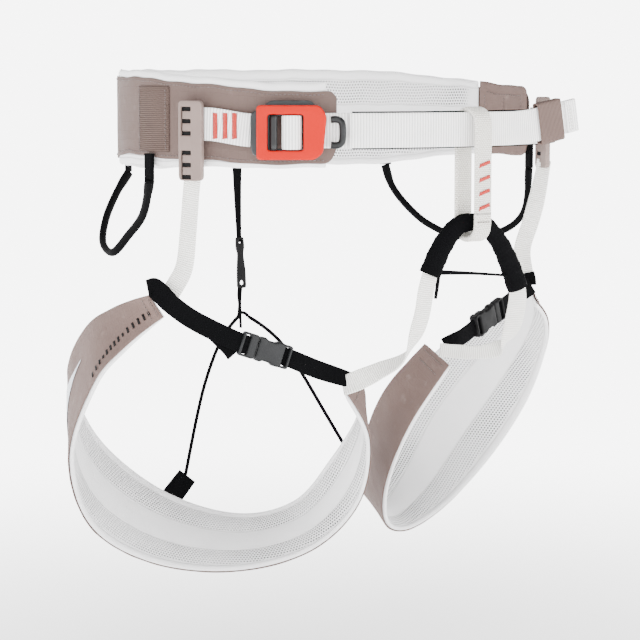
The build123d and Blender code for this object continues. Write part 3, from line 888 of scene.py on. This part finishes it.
# seams and edge stitching of the belt
sewn = Bundle()
run = np.linspace(SHELL_START - 3, LEFT_END + 1.5, 280)
for edge, inset in ((shell_top, -2.0), (shell_bottom, 2.0)):
    sewn.stitches(belt_point(run, 2.25, edge(run) + inset), belt_normal(run), 2.4, 1.6, 0.2)
for angle in (LEFT_END + 1.3, -262.5):
    upright_row(sewn, angle, shell_bottom(angle) + 4, shell_top(angle) - 4, 2.25, radius=0.2)
# the same seams show on the inner side of the end panel
arc = np.linspace(-275.5, -258, 20)
for heights in (lining_top(arc) - 6.5, lining_bottom(arc) + 6.5):
    sewn.stitches(belt_point(arc, -2.0, heights), -belt_normal(arc), 2.4, 1.6, 0.22)
for angle in (-275.5, -266.5, -258):
    upright_row(sewn, angle, lining_bottom(angle) + 6.5, lining_top(angle) - 6.5, -2.0, face=-1)
sewn.piece("belt_stitching", "taupe_thread", "harness")


# ---------------------------------------------------------------- waist straps
STRAP_Z = -3.0
STRAP_OFF = 4.6
TAIL_OFF = 6.9
TAIL_REACH = 32
WAIST_WEB = 20.0


def band(name, look, start, end, off, width, rise=lambda a: 0 * a, thick=1.4):
    """A strap along the belt between two angles, off mm out from the waist ellipse."""
    a = np.linspace(start, end, int(abs(end - start) / 3) + 3)
    path = belt_point(a, off + thick / 2, STRAP_Z + rise(a))
    return strap(name, look, path, UP, width, thick, 1.5, crown=0.12)


hold(band("strap_wear_tape_web", "black_webbing", -27, 62, 3.4, 21.6, thick=0.8), "harness",
     "strap_wear_tape")
hold(band("waist_strap_web", "white_webbing", -36, 84, STRAP_OFF, WAIST_WEB), "harness", "waist_strap")
hold(band("waist_strap_short_web", "white_webbing", -72, -51.5, STRAP_OFF, 19,
          lambda a: 3.6 * smoothstep((-50 - a) / 14)), "harness", "waist_strap_short")
# the tail leaves the strap past the belay loop and runs out to one side, its end folded and sewn
tail_out = [belt_point(14, TAIL_OFF, STRAP_Z)]
for i, heading in enumerate((11, 10, 8.5, 7)):
    tail_out.append(tail_out[-1] + 8 * np.array((cos(radians(heading)), sin(radians(heading)), 0.04 * i)))
TAIL_START = tail_out[-1]
TAIL_RUN = unit((0.98, 0.1, 0.17))
TAIL_FACE = unit((TAIL_RUN[1], -TAIL_RUN[0], 0))
tail_out += [TAIL_START + TAIL_RUN * reach for reach in (10, 21, TAIL_REACH)]
along = [belt_point(a, TAIL_OFF, STRAP_Z) for a in range(-28, 14, 6)] + tail_out
lean = np.concatenate([np.zeros(len(along) - 7), -0.04 * np.arange(4), [-0.17] * 3])
wide = np.stack([lean, 0 * lean, 1 + 0 * lean], axis=1)
hold(strap("waist_strap_tail_web", "white_webbing", along, wide, WAIST_WEB, 1.4, 1.5, crown=0.12), "harness",
     "waist_strap_tail")
wide = (-0.17, 0, 1)
end = TAIL_START + TAIL_RUN * TAIL_REACH + TAIL_FACE * 1.4
path = [end - TAIL_RUN * 9.2, end - TAIL_RUN * 4, end - TAIL_RUN * 0.6,
        end + TAIL_RUN * 0.5 - TAIL_FACE * 0.9]
obj = strap("tail_fold_web", "white_webbing", path, wide, WAIST_WEB - 0.2, 1.5, 1.0)
hold(obj, "harness", "tail_fold")
sewn = Bundle()
for reach in (24.5, 26.5):
    level = np.linspace(-8.6, 8.6, 14)[:, None]
    row = TAIL_START + TAIL_RUN * reach + TAIL_FACE * 2.2 + level * np.array(wide)
    sewn.stitches(row, TAIL_FACE, 2.0, 1.4, 0.22)
sewn.piece("tail_fold_stitching", "white_thread", "harness")

tacks = Bundle()
for angle in (-61.0, -58.3, -55.8):
    n = belt_normal(angle)
    centre = belt_point(angle, 6.15, STRAP_Z + 2.6)
    tacks.bartack(centre, UP, beside(n), n, 14.5, 3.6, 0.8, 0.42)
tacks.piece("short_strap_bartacks", "orange_thread", "harness")


# ---------------------------------------------------------------- waist buckle
BUCKLE_AT = -41.5
base_outline = corners([(-22, -14), (-23.5, -9), (-23.5, 10), (-12, 17.5), (11, 17.5), (15, 13.5), (15, -14)],
                       2.0)
window = box_outline(-3, -0.6, 18.5, 18.5, 1.6)
base_place = belt_plane(BUCKLE_AT, 6.4, -3.3)
hold(plate("buckle_base_plate", "dark_alloy", [base_outline, window], 1.8, base_place, 0.6),
     "harness", "buckle_base")
frame_place = belt_plane(BUCKLE_AT, 9.6, -3.9)
outline = corners([(-20, -15.5), (-20, 15.5), (16, 15.5), (20, 9.5), (18, -11.5), (13, -15.5)][::-1], 2.6)
window = box_outline(-3.5, 0, 20.5, 20.5, 1.8)
hold(plate("buckle_frame_body", "orange_alloy", [outline, window], 4.0, frame_place, 1.1, 4),
     "buckle", "buckle_frame")


def on(place, points):
    """Points given in a plane's own millimetres, in the frame's."""
    m = np.array(place)
    return np.asarray(points, float) @ m[:3, :3].T + m[:3, 3] / MM


bar = on(frame_place, [(-10.2, y, 2.0) for y in np.linspace(-9.9, 9.9, 12)])
hold(tube("buckle_bar_rod", "black_alloy", bar, 2.1, sides=24), "buckle", "buckle_bar")
wrap = [(-5.0, 0, -0.9), (-4.9, 0, 1.4), (-3.3, 0, 3.0), (-0.6, 0, 3.55), (2.2, 0, 3.3), (4.4, 0, 2.0),
        (5.1, 0, 0.4), (5.2, 0, -0.9)]
m = np.array(frame_place)
obj = strap("strap_wrap_web", "white_webbing", on(frame_place, wrap), -m[:3, 1], 19.4, 1.3, 0.8)
hold(obj, "buckle", "strap_wrap")
hook_place = belt_plane(BUCKLE_AT, 8.6, -3.9)
hook = [(22.2, 7.2, 0), (26, 7.3, 0), (28.4, 5.6, 0), (29.0, 2.6, 0),
        (29.0, -2.6, 0), (28.4, -5.6, 0), (26, -7.3, 0), (22.2, -7.2, 0)]
hook = catmull(on(hook_place, hook), 6)
hold(tube("buckle_hook_wire", "black_alloy", hook, 2.0, sides=20), "harness", "buckle_hook")


# ---------------------------------------------------------------- hip ladders and gear loops
def ladder(name, angle, off, side, node):
    """A moulded strip with two combs of slots over a black sheet that paints the shade seen through its
    slots.
    """
    place = belt_plane(angle, off, -9.0)
    combs = []
    for top in (18.2, -6.9):
        near, mid, far = (side * x for x in (-5.9, -5.1, 0.5))
        ring = [(near, top + 1.2)]
        for z in (top, top - 7.0, top - 14.0):
            ring += [(far, z + 1.2), (far, z - 1.2), (mid, z - 1.2), (mid, z - 5.8)]
        combs.append(corners(ring[:-2] + [(near, top - 15.2)], 0.35, 3))
    hold(plate(name, "taupe_plastic", [box_outline(0, 0, 15.5, 46, 3.0)] + combs, 3.6, place, 0.7), "harness",
         node)
    # Painted shade: a black sheet under the ladder so that its slots look dark.
    slot_shade_sheet = plate(name + "_backing", "black_plastic", [box_outline(side * -2.5, -1.3, 9, 42, 0.8)], 1.2,
                    place @ Matrix.Translation((0, 0, 0.9 * MM)), 0.3)
    hold(slot_shade_sheet, "harness")


ladder("hip_ladder_right", -67.4, 6.6, 1, "ladder_right")
ladder("hip_ladder_left", 79.0, 6.4, -1, "ladder_left")

for name, start, end, low, high, node in (("hip_patch_right", -90, -76.6, -16.2, 22, "gear_patch_right"),
                                          ("hip_patch_left", 86, 98, -14, 17, "gear_patch_left")):
    base, out = belt_grid(start, end, lambda a: low + 0 * a, lambda a: high + 0 * a, cloth_share, 1.8)
    swell = 0.5 * np.sin(np.linspace(0, pi, base.shape[0]))[:, None]
    hold(slab(name, "patch_webbing_painted_shade", base, out, 2.3, 3.3 + swell, rim=0.7), "harness", node)
    sewn = Bundle()
    for angle in np.array((start, end)) + np.array((1, -1)) * np.sign(end - start):
        upright_row(sewn, angle, low + 1.5, high - 1.5, 3.65, pitch=2.2, length=1.5)
    sewn.piece(name + "_stitching", "taupe_thread", "harness")

# gear hoops hang from the belt at these angles, at this height
HOOP_FRONT = 84.0
HOOP_REAR = 136.0
GEAR_Z = -33.0


def gear_anchor(side, angle):
    return tuple(belt_point(side * angle, 4.2, GEAR_Z))


# which side of the belt each hoop is on, and its points between its two ends
GEAR_HOOPS = {
    "right": (-1, [
        (-111, 83, -45), (-124, 74, -60), (-134, 61, -74),
        (-138, 42, -79), (-136, 27, -68), (-136, 9, -54)]),
    "left": (1, [
        (102, 80, -47), (105, 65, -61), (112, 51, -72),
        (123, 33, -79), (139, 9, -75), (147, -5, -61)]),
}
for name, (side, middle) in GEAR_HOOPS.items():
    route = [gear_anchor(side, HOOP_REAR)] + middle + [gear_anchor(side, HOOP_FRONT)]
    line = even(catmull(route, 10), 1.6)
    s = lengths(line)
    near = np.minimum(s, s[-1] - s)
    radius = 2.5 + 0.5 * smoothstep((14 - near) / 8)
    hold(tube(f"gear_hoop_{name}", "black_rubber", line, radius, 0.86, sides=20), f"gear_{name}",
         f"gear_loop_{name}")
    for angle, end in ((HOOP_FRONT, "front"), (HOOP_REAR, "rear")):
        top = belt_point(side * angle, 4.3, -17.2)
        low = belt_point(side * angle, 4.3, -32.4)
        n = belt_normal(side * angle)
        obj = strap(f"gear_strap_{name}_{end}", "black_webbing", [top, (top + low) / 2, low], beside(n), 8,
                    2.4, 1.0)
        hold(obj, "harness", f"gear_tab_{name}_{end}")

# ---------------------------------------------------------------- elastic keeper
middle = TAIL_START + TAIL_RUN * 9.2
high = np.array((-0.17, 0, 1))
ring = [(-1.95, -10.9), (-2.05, 0), (-1.95, 10.9), (-1.1, 11.7), (1.1, 11.7), (1.95, 10.9), (2.05, 0),
        (1.95, -10.9), (1.1, -11.7), (-1.1, -11.7)]
obj = strap("tail_keeper_band", "taupe_webbing", [middle + TAIL_FACE * x + high * z for x, z in ring],
            TAIL_RUN, 20, 1.1, 0.9, closed=True)
hold(obj, "keeper", "tail_keeper")

# ---------------------------------------------------------------- belay loop
BELAY_AT = 4.6
BELAY_BEND = 8.5
BELAY_LOW = -59
n = belt_normal(BELAY_AT)
t = beside(n)
centre = belt_point(BELAY_AT, 5.5, 0)
# out from the strap and height, round the loop's two straight runs and two bends
loop = [(8.6, z) for z in np.linspace(BELAY_LOW, 0, 9)[1:-1]]
loop += [(BELAY_BEND * cos(a), BELAY_BEND * sin(a)) for a in np.radians(range(0, 181, 30))]
loop += [(-8.6, z) for z in np.linspace(0, BELAY_LOW, 9)[1:-1]]
loop += [(BELAY_BEND * cos(a), BELAY_LOW + BELAY_BEND * sin(a)) for a in np.radians(range(180, 361, 30))]
path = [centre + n * x + UP * z for x, z in loop]
obj = strap("belay_loop_web", "belay_webbing", path, t, 12.6, 3.2, 1.2, closed=True, crown=0.15)
hold(obj, "belay", "belay_loop")

tacks = Bundle()
for z in (-23, -31.5, -39.5, -48):
    tacks.bartack(centre + n * 10.35 + UP * z, t + UP * 0.28, UP, n, 8.4, 2.8, 1.25, 0.4)
tacks.piece("belay_bartacks", "orange_thread", "belay")
tacks = Bundle()
row = centre + n * 10.3 + UP * -57.0 + t * np.linspace(-5.6, 5.6, 12)[:, None]
tacks.stitches(row, n, 2.0, 1.5, 0.3)
tacks.piece("belay_seam", "taupe_thread", "belay")

# ---------------------------------------------------------------- bridge between the leg loops
SHEATH = [(-13, -111, -88), (-7, -114.5, -72), (1, -118.5, -60), (9.5, -120.5, -57.5),
          (20, -120.5, -59), (33, -118.5, -70), (44, -115, -84), (53, -112, -99)]
line = even(catmull(SHEATH, 10), 1.2)
s = lengths(line)
u = s / s[-1]
along = unit(np.gradient(line, axis=0))
wide = unit(np.cross(along, np.array((0.5, 0.82, 0.0))))
breadth = 6.4 - 1.2 * np.sin(pi * u) ** 2 + 0.16 * np.sin(s * 0.7) + 0.12 * np.sin(s * 1.9 + 1)
obj = tube("bridge_sleeve", "black_webbing", line, breadth, 0.62, wide, 28)
hold(obj, "harness", "bridge_sheath")

def tape(name, node, mover, crown, rows):
    """A webbing tape from the harness to a moving body; rows give its points, width directions and widths."""
    path, wide, width = zip(*rows)
    obj = strap(name, "fine_webbing", path, wide, width, 1.3, 1.5, crown=crown)
    hold(obj, ("harness", mover, path[0], path[-1]), node)


BRIDGE_TAPES = {
    "right": [
        ((-12.4, -111.4, -86), (0.82, -0.57, 0), 9), ((-13.6, -108.5, -97), (0.82, -0.5, 0), 9.5),
        ((-12, -101, -116), (0.8, -0.3, -0.3), 9.5), ((-13, -88, -138), (0.6, 0.5, 0.4), 11),
        ((-24, -75, -148), (0.3, 0.4, 0.85), 11.5), ((-38, -71, -153.5), (0.3, 0.3, 0.9), 12.5),
        ((-43.5, -66, -156.5), (0.4, 0.2, 0.9), 12.5)],
    "left": [
        ((52.6, -112.3, -95), (0.82, -0.57, 0), 9), ((54.8, -110, -101.5), (0.82, -0.57, 0), 10),
        ((57.7, -106, -110), (0.82, -0.57, 0), 11), ((59.8, -98, -126.3), (0.8, -0.4, 0.4), 11.5),
        ((59.0, -89, -137.4), (0.5, -0.1, 0.85), 11), ((50.2, -80, -141), (0.1, 0.3, 0.95), 8.5),
        ((41, -69, -141), (0, 0.4, 0.9), 8.5), ((34, -60.5, -140.5), (-0.1, 0.4, 0.9), 8.5)],
}
for name, rows in BRIDGE_TAPES.items():
    tape(f"bridge_tape_{name}", f"bridge_strap_{name}", f"leg_{name}", 0.4, rows)

elastic = [(-11.5, -113.2, -86.5), (18, -113.6, -88.5), (48.5, -114.8, -91.5)]
hold(strap("leg_elastic", "black_webbing", elastic, (0, 0, 1), (3.2, 1.9, 1.5), 1.1, 1.0), "harness",
     "cross_elastic")
branch = [(-8.4, -113.2, -87), (-7.6, -111.6, -94), (-7.4, -109.5, -102.5)]
hold(strap("leg_elastic_tail", "black_webbing", branch, (0.82, -0.57, 0), (3.0, 2.4, 2.0), 1.1, 1.0),
     "harness", "elastic_branch")

# ---------------------------------------------------------------- risers
RISER_TAPES = {
    "right": [
        ((-136.4, -48.2, -27), (0.44, -0.9, 0)), ((-136.2, -45.5, -38), (0.44, -0.9, 0)),
        ((-135.5, -41, -60), (0.46, -0.88, 0)), ((-135.5, -36.5, -82), (0.55, -0.83, 0)),
        ((-139, -31.5, -94), (0.7, -0.6, -0.35)), ((-143.5, -29.5, -101), (0.6, -0.5, -0.6))],
    "left": [
        ((146.4, -25.4, -27), (0.25, -0.95, 0)), ((146.2, -23.8, -36), (0.25, -0.95, 0)),
        ((144.3, -20.5, -54), (0.6, -0.78, 0)), ((142, -17.5, -68), (0.82, -0.57, 0)),
        ((138.2, -14, -86), (0.82, -0.57, 0)), ((138.6, -17, -103), (0.8, -0.57, -0.1))],
}
for name, rows in RISER_TAPES.items():
    tape(f"riser_tape_{name}", f"riser_{name}", f"leg_{name}", 0.15, [(*row, 11) for row in rows])

# ---------------------------------------------------------------- drop-seat tape and clip
obj = strap("drop_tape_web", "black_webbing", [(1, 117.2, -28), (0, 115, -52), (-1.3, 111.3, -82.5)],
            (1, 0, 0), (7.5, 5.5, 3.4), 1.2, 1.2)
hold(obj, "harness", "drop_tape")
clip_place = plane((-1.3, 110.8, -82.0), (1, 0, 0), (0, -1, 0.09))


def circle(cx, cy, r):
    return [(cx + r * cos(a), cy + r * sin(a)) for a in np.linspace(0, 2 * pi, 20, endpoint=False)]


clip_outline = corners([(-2.8, 3.0), (2.8, 3.0), (3.2, -4), (2.0, -8), (3.2, -20), (3.0, -31), (-3.6, -31),
                        (-3.2, -20), (-2.0, -8), (-3.2, -4)], 1.6)
outlines = [clip_outline, circle(0, 0, 1.3), circle(-0.2, -27.4, 1.6)]
obj = plate("drop_clip_body", "black_plastic", outlines, 2.4, middle_of(clip_place, 2.4), 0.6)
hold(obj, "drop", "drop_clip")
loop = [(-1.6, 108.2, -111.0), (-2.4, 108.0, -115), (-3.4, 107.2, -121), (-4.2, 106, -127),
        (-4.5, 105.2, -133), (-4.6, 104.6, -139)]
other = [(-3.4, 108.2, -111.0), (-4.4, 107.8, -117), (-4.2, 107.0, -123), (-5.2, 106, -128.5),
         (-5.2, 105.2, -132)]
strands = Bundle()
strands.thread(smooth_line(loop, 0.8), 0.95, 8)
strands.thread(smooth_line(other, 0.8), 0.85, 8)
knot = [(-8.5, 101.8, -131), (-7, 103, -129), (-4.6, 104.4, -128.6), (-2, 103.2, -129.3),
        (-0.5, 101.8, -131.3)]
strands.thread(smooth_line(knot, 0.8), 1.1, 8)
obj = strands.piece("drop_loop_strands", "black_webbing", "drop")
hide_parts("drop_loop")

# ---------------------------------------------------------------- leg loops
PER_SPAN = 16
# each side's hub, then its stations from the outer front end round to the inner one: upper and lower edge
PADS = {
    "right": ((-93, 0, -180), [
        ((-150.5, -22, -99), (-144.5, -29, -112)), ((-158, 6, -109), (-166, -20, -131)),
        ((-161, 35, -124), (-182, -12, -152)), ((-157, 62, -155), (-185, 12, -198)),
        ((-128, 79, -199), (-162, 28, -244)), ((-84, 74, -236), (-121, 23, -270)),
        ((-45, 49, -251), (-75, 1, -276)), ((-24, 14, -240), (-37, -25, -263)),
        ((-18, -18, -209), (-16, -45, -233)), ((-11, -40, -176), (-18.5, -58, -193)),
        ((-20, -50, -152.5), (-40, -63, -161.5))]),
    "left": ((92, 4, -182), [
        ((140, -18, -109), (142, -24, -121)), ((150, 14, -120), (164, -10, -135)),
        ((151, 43, -137), (174, 3, -156)), ((138, 75, -160), (178, 26, -192)),
        ((116, 90, -192), (156, 34, -227)), ((93, 82, -231), (116, 30, -256)),
        ((69, 61, -250), (71, 16, -268)), ((44, 33, -238), (36, -5, -258)),
        ((25, 5, -206), (17, -30, -228)), ((21, -22, -169), (18, -53, -188)),
        ((37.6, -42, -138.7), (37.9, -67.2, -150))]),
}


class Leg:
    """A leg loop's pad as a surface: along from its outer front end, and across from lower edge to upper."""

    def __init__(self, side):
        hub, stations = PADS[side]
        rows = np.array([(*u, *l) for u, l in stations], float)
        fine = catmull(rows, PER_SPAN)
        self.upper, self.lower = fine[:, :3], fine[:, 3:]
        mid = (self.upper + self.lower) / 2
        along = np.gradient(mid, axis=0)
        face = unit(np.cross(along, self.upper - self.lower))
        face *= np.sign(((mid - np.array(hub, float)) * face).sum(1, keepdims=True))
        self.face = face
        self.last = len(fine) - 1
        self.length = lengths(mid)

    def at(self, station, share):
        """Surface points and outward directions; station is 0 to 10 along the CAD's stations."""
        k = np.clip(np.asarray(station, float) * PER_SPAN, 0, self.last)
        i = np.minimum(k.astype(int), self.last - 1)
        f = (k - i)[..., None]
        upper = self.upper[i] * (1 - f) + self.upper[i + 1] * f
        lower = self.lower[i] * (1 - f) + self.lower[i + 1] * f
        face = unit(self.face[i] * (1 - f) + self.face[i + 1] * f)
        return lower + (upper - lower) * np.asarray(share, float)[..., None], face

    def grid(self, share, step):
        """Base points and outward directions about every step mm along the pad, at each share across it."""
        even_run = np.linspace(0, self.length[-1], int(self.length[-1] / step) + 2)
        at = np.interp(even_run, self.length, np.arange(self.last + 1)) / PER_SPAN
        return self.at(*np.broadcast_arrays(at[:, None], np.atleast_2d(share)))


for side in ("right", "left"):
    leg = Leg(side)
    body = "leg_" + side
    base, out = leg.grid(share, 3.0)
    padding(f"leg_padding_{side}", base, out, share, -1.0, 0.9, 0.9, body, f"leg_lining_{side}")

    base, out = leg.grid(0.012 + 0.976 * cloth_share, 2.6)
    folds = ripple(base.shape[:2], 1.0, 5 if side == "right" else 6, 30, 2)
    obj = slab(f"leg_cover_{side}", "taupe_cloth", base, out, COVER_LOW, 2.05 + 0.35 * folds, rim=0.8)
    hold(subdivide(obj), body, f"leg_shell_{side}")

    # reflective flash: pointed in front, widening to the back
    t = np.linspace(0, 1, 60)
    stations = 2.2 + 1.8 * t
    grow = smoothstep(t * 1.5)[:, None]
    low_edge, high_edge = 0.59 - 0.23 * grow, 0.61 + 0.20 * grow
    shares = low_edge + (high_edge - low_edge) * np.linspace(0, 1, 9)[None, :]
    base, out = leg.at(np.broadcast_to(stations[:, None], shares.shape), shares)
    hold(slab(f"leg_flash_{side}", "reflective", base, out, 2.35, 2.62, rim=0.3), body,
         f"leg_reflector_{side}")

    # end stitching and a plain dashed print where such a loop carries its marking
    sewn = Bundle()
    for place in (0.12, 0.3, 9.7, 9.88):
        p, n = leg.at(np.full(12, place), np.linspace(0.14, 0.86, 12))
        sewn.stitches(p + n * 2.2, n, 2.0, 1.4, 0.26)
    sewn.piece(f"leg_stitching_{side}", "taupe_thread", body)
    dashes = Bundle()
    for i in range(14):
        at = 0.3 + 0.125 * i
        level = 0.37 - 0.155 * (at - 0.3)
        p, n = leg.at(np.array([at, at, at - 0.03, at + 0.03]),
                      np.array([level - 0.08, level + 0.08, level, level]))
        mid = (p[0] + p[1]) / 2
        wide = unit(p[1] - p[0])
        run = unit(p[3] - p[2])
        half = 2.1 if i % 5 else 1.3
        box = [(-half, -0.7), (half, -0.7), (half, 0.7), (-half, 0.7)]
        pts = [mid + wide * a + run * b + n[0] * (2.3 + c) for c in (0, 0.14) for a, b in box]
        faces = [(3, 2, 1, 0), (4, 5, 6, 7), (0, 1, 5, 4), (1, 2, 6, 5), (2, 3, 7, 6), (3, 0, 4, 7)]
        dashes.add(np.array(pts), faces, np.zeros((8, 2)))
    dashes.piece(f"leg_dashes_{side}", "black_print", body)

# ---------------------------------------------------------------- leg loop closures
SOCKET_THICK = 5.6
PLUG_THICK = 4.6
# droop and free_end are how far the strap's loose end hangs and reaches past the plug
CLOSURES = {
    "right": dict(centre=(-96.5, -53.4, -131), along=(65, -14, -23), droop=-7.5, free_end=0.8,
                  outer_wide=(0.45, -0.35, 0.8),
                  outer_run=[(-149.3, -27, -96), (-146.9, -31.5, -100), (-144, -35, -104),
                             (-134.1, -40, -112.3), (-121.5, -46, -120)],
                  inner=(-38.3, -66.5, -153), inner_wide=(-0.1, 0.5, 0.85), inner_mid=(-58, -61.5, -146),
                  eye_run=[(-144.8, -34.2, -102.4), (-147.6, -30.6, -97.6), (-150.2, -26.4, -94.4),
                           (-152.4, -23.0, -95.4)],
                  eye_wide=(0.45, -0.35, 0.8), eye_width=11.0, look="grey_plastic"),
    "left": dict(centre=(96, -36, -123.7), along=(-86, -25, -31), droop=-3.0, free_end=6.0,
                 outer_wide=(0, 0.3, 1),
                 outer_run=[(137.5, -24, -108.5), (134, -25, -110), (121, -28.7, -114.6)],
                 inner=(49, -47.5, -140), inner_wide=(-0.1, 0.5, 0.85), inner_mid=(62, -46, -136),
                 eye_run=[(139.2, -19.6, -100.6), (138.8, -21.6, -104.2), (137.4, -23.8, -108)],
                 eye_wide=(0.8, -0.57, 0.1), eye_width=7.5, look="black_plastic"),
}
for side, c in CLOSURES.items():
    body, plug = "leg_" + side, "plug_" + side
    u = unit(c["along"])
    w = unit(UP - u * u[2])
    n = np.cross(u, w)
    n = -n if n[1] > 0 else n
    centre = np.array(c["centre"], float)
    mid = plane(centre, u, n)
    # socket: a hollow body, waisted at its side openings, with a bar for the strap
    shape = [(0, 7.2), (3.5, 7.5), (5.0, 6.4), (10.2, 6.4), (12, 7.5), (15, 7.4), (17.5, 7.0), (21.8, 7.0)]
    ring = corners(shape + [(x, -y) for x, y in shape[::-1]], 1.2)
    obj = plate(f"leg_buckle_socket_{side}", c["look"], [ring, box_outline(18.5, 0, 3.0, 11.8, 0.8)],
                SOCKET_THICK, middle_of(mid, SOCKET_THICK), 1.3, 4)
    hold(obj, body, f"leg_socket_{side}")
    ring = corners([(-10.8, -7.4), (-0.5, -7.4), (-0.5, 7.4), (-10.8, 7.4)], 1.8)
    obj = plate(f"leg_buckle_plug_{side}", c["look"], [ring, box_outline(-7.4, 0, 3.2, 11.8, 0.8)],
                PLUG_THICK, middle_of(mid, PLUG_THICK), 1.1, 4)
    hold(obj, plug, f"leg_plug_{side}")
    # webbing from the loop's outer end to the plug, and from the socket to its inner end
    near = centre + u * -12.2
    far = centre + u * 23.0
    path = list(c["outer_run"]) + [near, centre + u * -4.6]
    wide = [c["outer_wide"]] * (len(path) - 3) + [w, w, w]
    obj = strap(f"leg_web_outer_{side}", "black_webbing", path, wide, [11.6] * (len(path) - 1) + [10.8], 1.5,
                1.3, crown=0.1)
    hold(obj, (body, plug, c["outer_run"][0], near), f"leg_strap_outer_{side}")
    # the strap's free end, left loose behind the plug
    behind = -n * 2.4
    free = [c["outer_run"][-1] + behind * 0.8, near - u * 4 + behind + w * c["droop"] * 0.55,
            near + u * c["free_end"] + behind * 1.3 + w * c["droop"]]
    obj = strap(f"leg_web_free_{side}", "black_webbing", free, [w, w, w - u * 0.1], 10.6, 1.3, 1.3, crown=0.1)
    hold(obj, (body, plug, free[0], near))
    path = [centre + u * 16.5, far, c["inner_mid"], c["inner"]]
    obj = strap(f"leg_web_inner_{side}", "black_webbing", path, [w, w, w, c["inner_wide"]],
                (10.8, 11, 11, 10.6), 1.5, 1.3, crown=0.1)
    hold(obj, body, f"leg_strap_inner_{side}")
    # the webbing's turned loop round the riser's end
    obj = strap(f"leg_eye_web_{side}", "black_webbing", c["eye_run"], c["eye_wide"], c["eye_width"], 1.5, 1.0,
                crown=0.2)
    hold(obj, body, f"leg_eye_{side}")

for side, foot, head, wide in (("right", (-76.4, 77.1, -241.5), (-65.9, 74.5, -228.5), (0.8, -0.35, -0.45)),
                               ("left", (72, 66.5, -243), (63, 70, -229), (0.8, 0.35, 0.45))):
    foot, head = np.array(foot, float), np.array(head, float)
    run = unit(foot - head)
    obj = strap(f"leg_tab_web_{side}", "black_webbing",
                [foot + run * 2.5, (foot + head) / 2, head - run * 0.5], wide, (14, 13.6, 13), 1.6, 1.0,
                crown=0.2)
    hold(obj, "leg_" + side, f"leg_rear_tab_{side}")

# ---------------------------------------------------------------- studio
FLOOR_Z = -0.36
SKY = 0.8
HORIZON = 7.0


def floor_look():
    k = Look("studio_floor", 0.9, specular=0.1)
    far = k.add("ShaderNodeVectorMath", Vector=k.place)
    far.operation = "LENGTH"
    grain = k.mix(k.noise(3, 2), srgb(250, 250, 250), srgb(247, 247, 248))
    k.done(grain)
    glow = k.add("ShaderNodeEmission", Color=(1, 1, 1, 1), Strength=HORIZON)
    blend = k.add("ShaderNodeMixShader", Fac=k.step(far.outputs["Value"], 0.05, 1.1))
    output = k.tree.nodes["Material Output"]
    k.tree.links.new(k.shader.outputs[0], blend.inputs[1])
    k.tree.links.new(glow.outputs[0], blend.inputs[2])
    k.tree.links.new(blend.outputs[0], output.inputs["Surface"])


mesh = bpy.data.meshes.new("floor")
rim = [(25 * cos(a), 25 * sin(a), FLOOR_Z) for a in np.linspace(0, 2 * pi, 96, endpoint=False)]
mesh.from_pydata(rim, [], [range(96)])
floor_look()
mesh.materials.append(LOOKS["studio_floor"])
new_object("floor", mesh)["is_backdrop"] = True

world = bpy.data.worlds.new("studio")
world.use_nodes = True
tree = world.node_tree
direction = tree.nodes.new("ShaderNodeSeparateXYZ")
tree.links.new(tree.nodes.new("ShaderNodeTexCoord").outputs["Generated"], direction.inputs[0])
height = tree.nodes.new("ShaderNodeMapRange")
height.interpolation_type = "SMOOTHSTEP"
for title, value in (("From Min", 0.06), ("From Max", 0.24), ("To Min", HORIZON), ("To Max", SKY)):
    height.inputs[title].default_value = value
tree.links.new(direction.outputs["Z"], height.inputs["Value"])
tree.links.new(height.outputs[0], tree.nodes["Background"].inputs["Strength"])
tree.nodes["Background"].inputs["Color"].default_value = (1, 1, 1, 1)
bpy.context.scene.world = world


def lamp(name, place, size, power):
    light = bpy.data.lights.new(name, "AREA")
    light.size = size
    light.energy = power
    obj = new_object(name, light)
    obj.location = place
    obj.rotation_mode = "QUATERNION"
    obj.rotation_quaternion = (AIM * MM - Vector(place)).to_track_quat("-Z", "Y")


lamp("key", (-1.5, -1.5, 1.3), 1.2, 40)
lamp("fill", (0.9, -1.9, 0.0), 1.4, 24)
lamp("back", (0.4, 1.8, 1.2), 1.2, 20)

low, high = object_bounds()
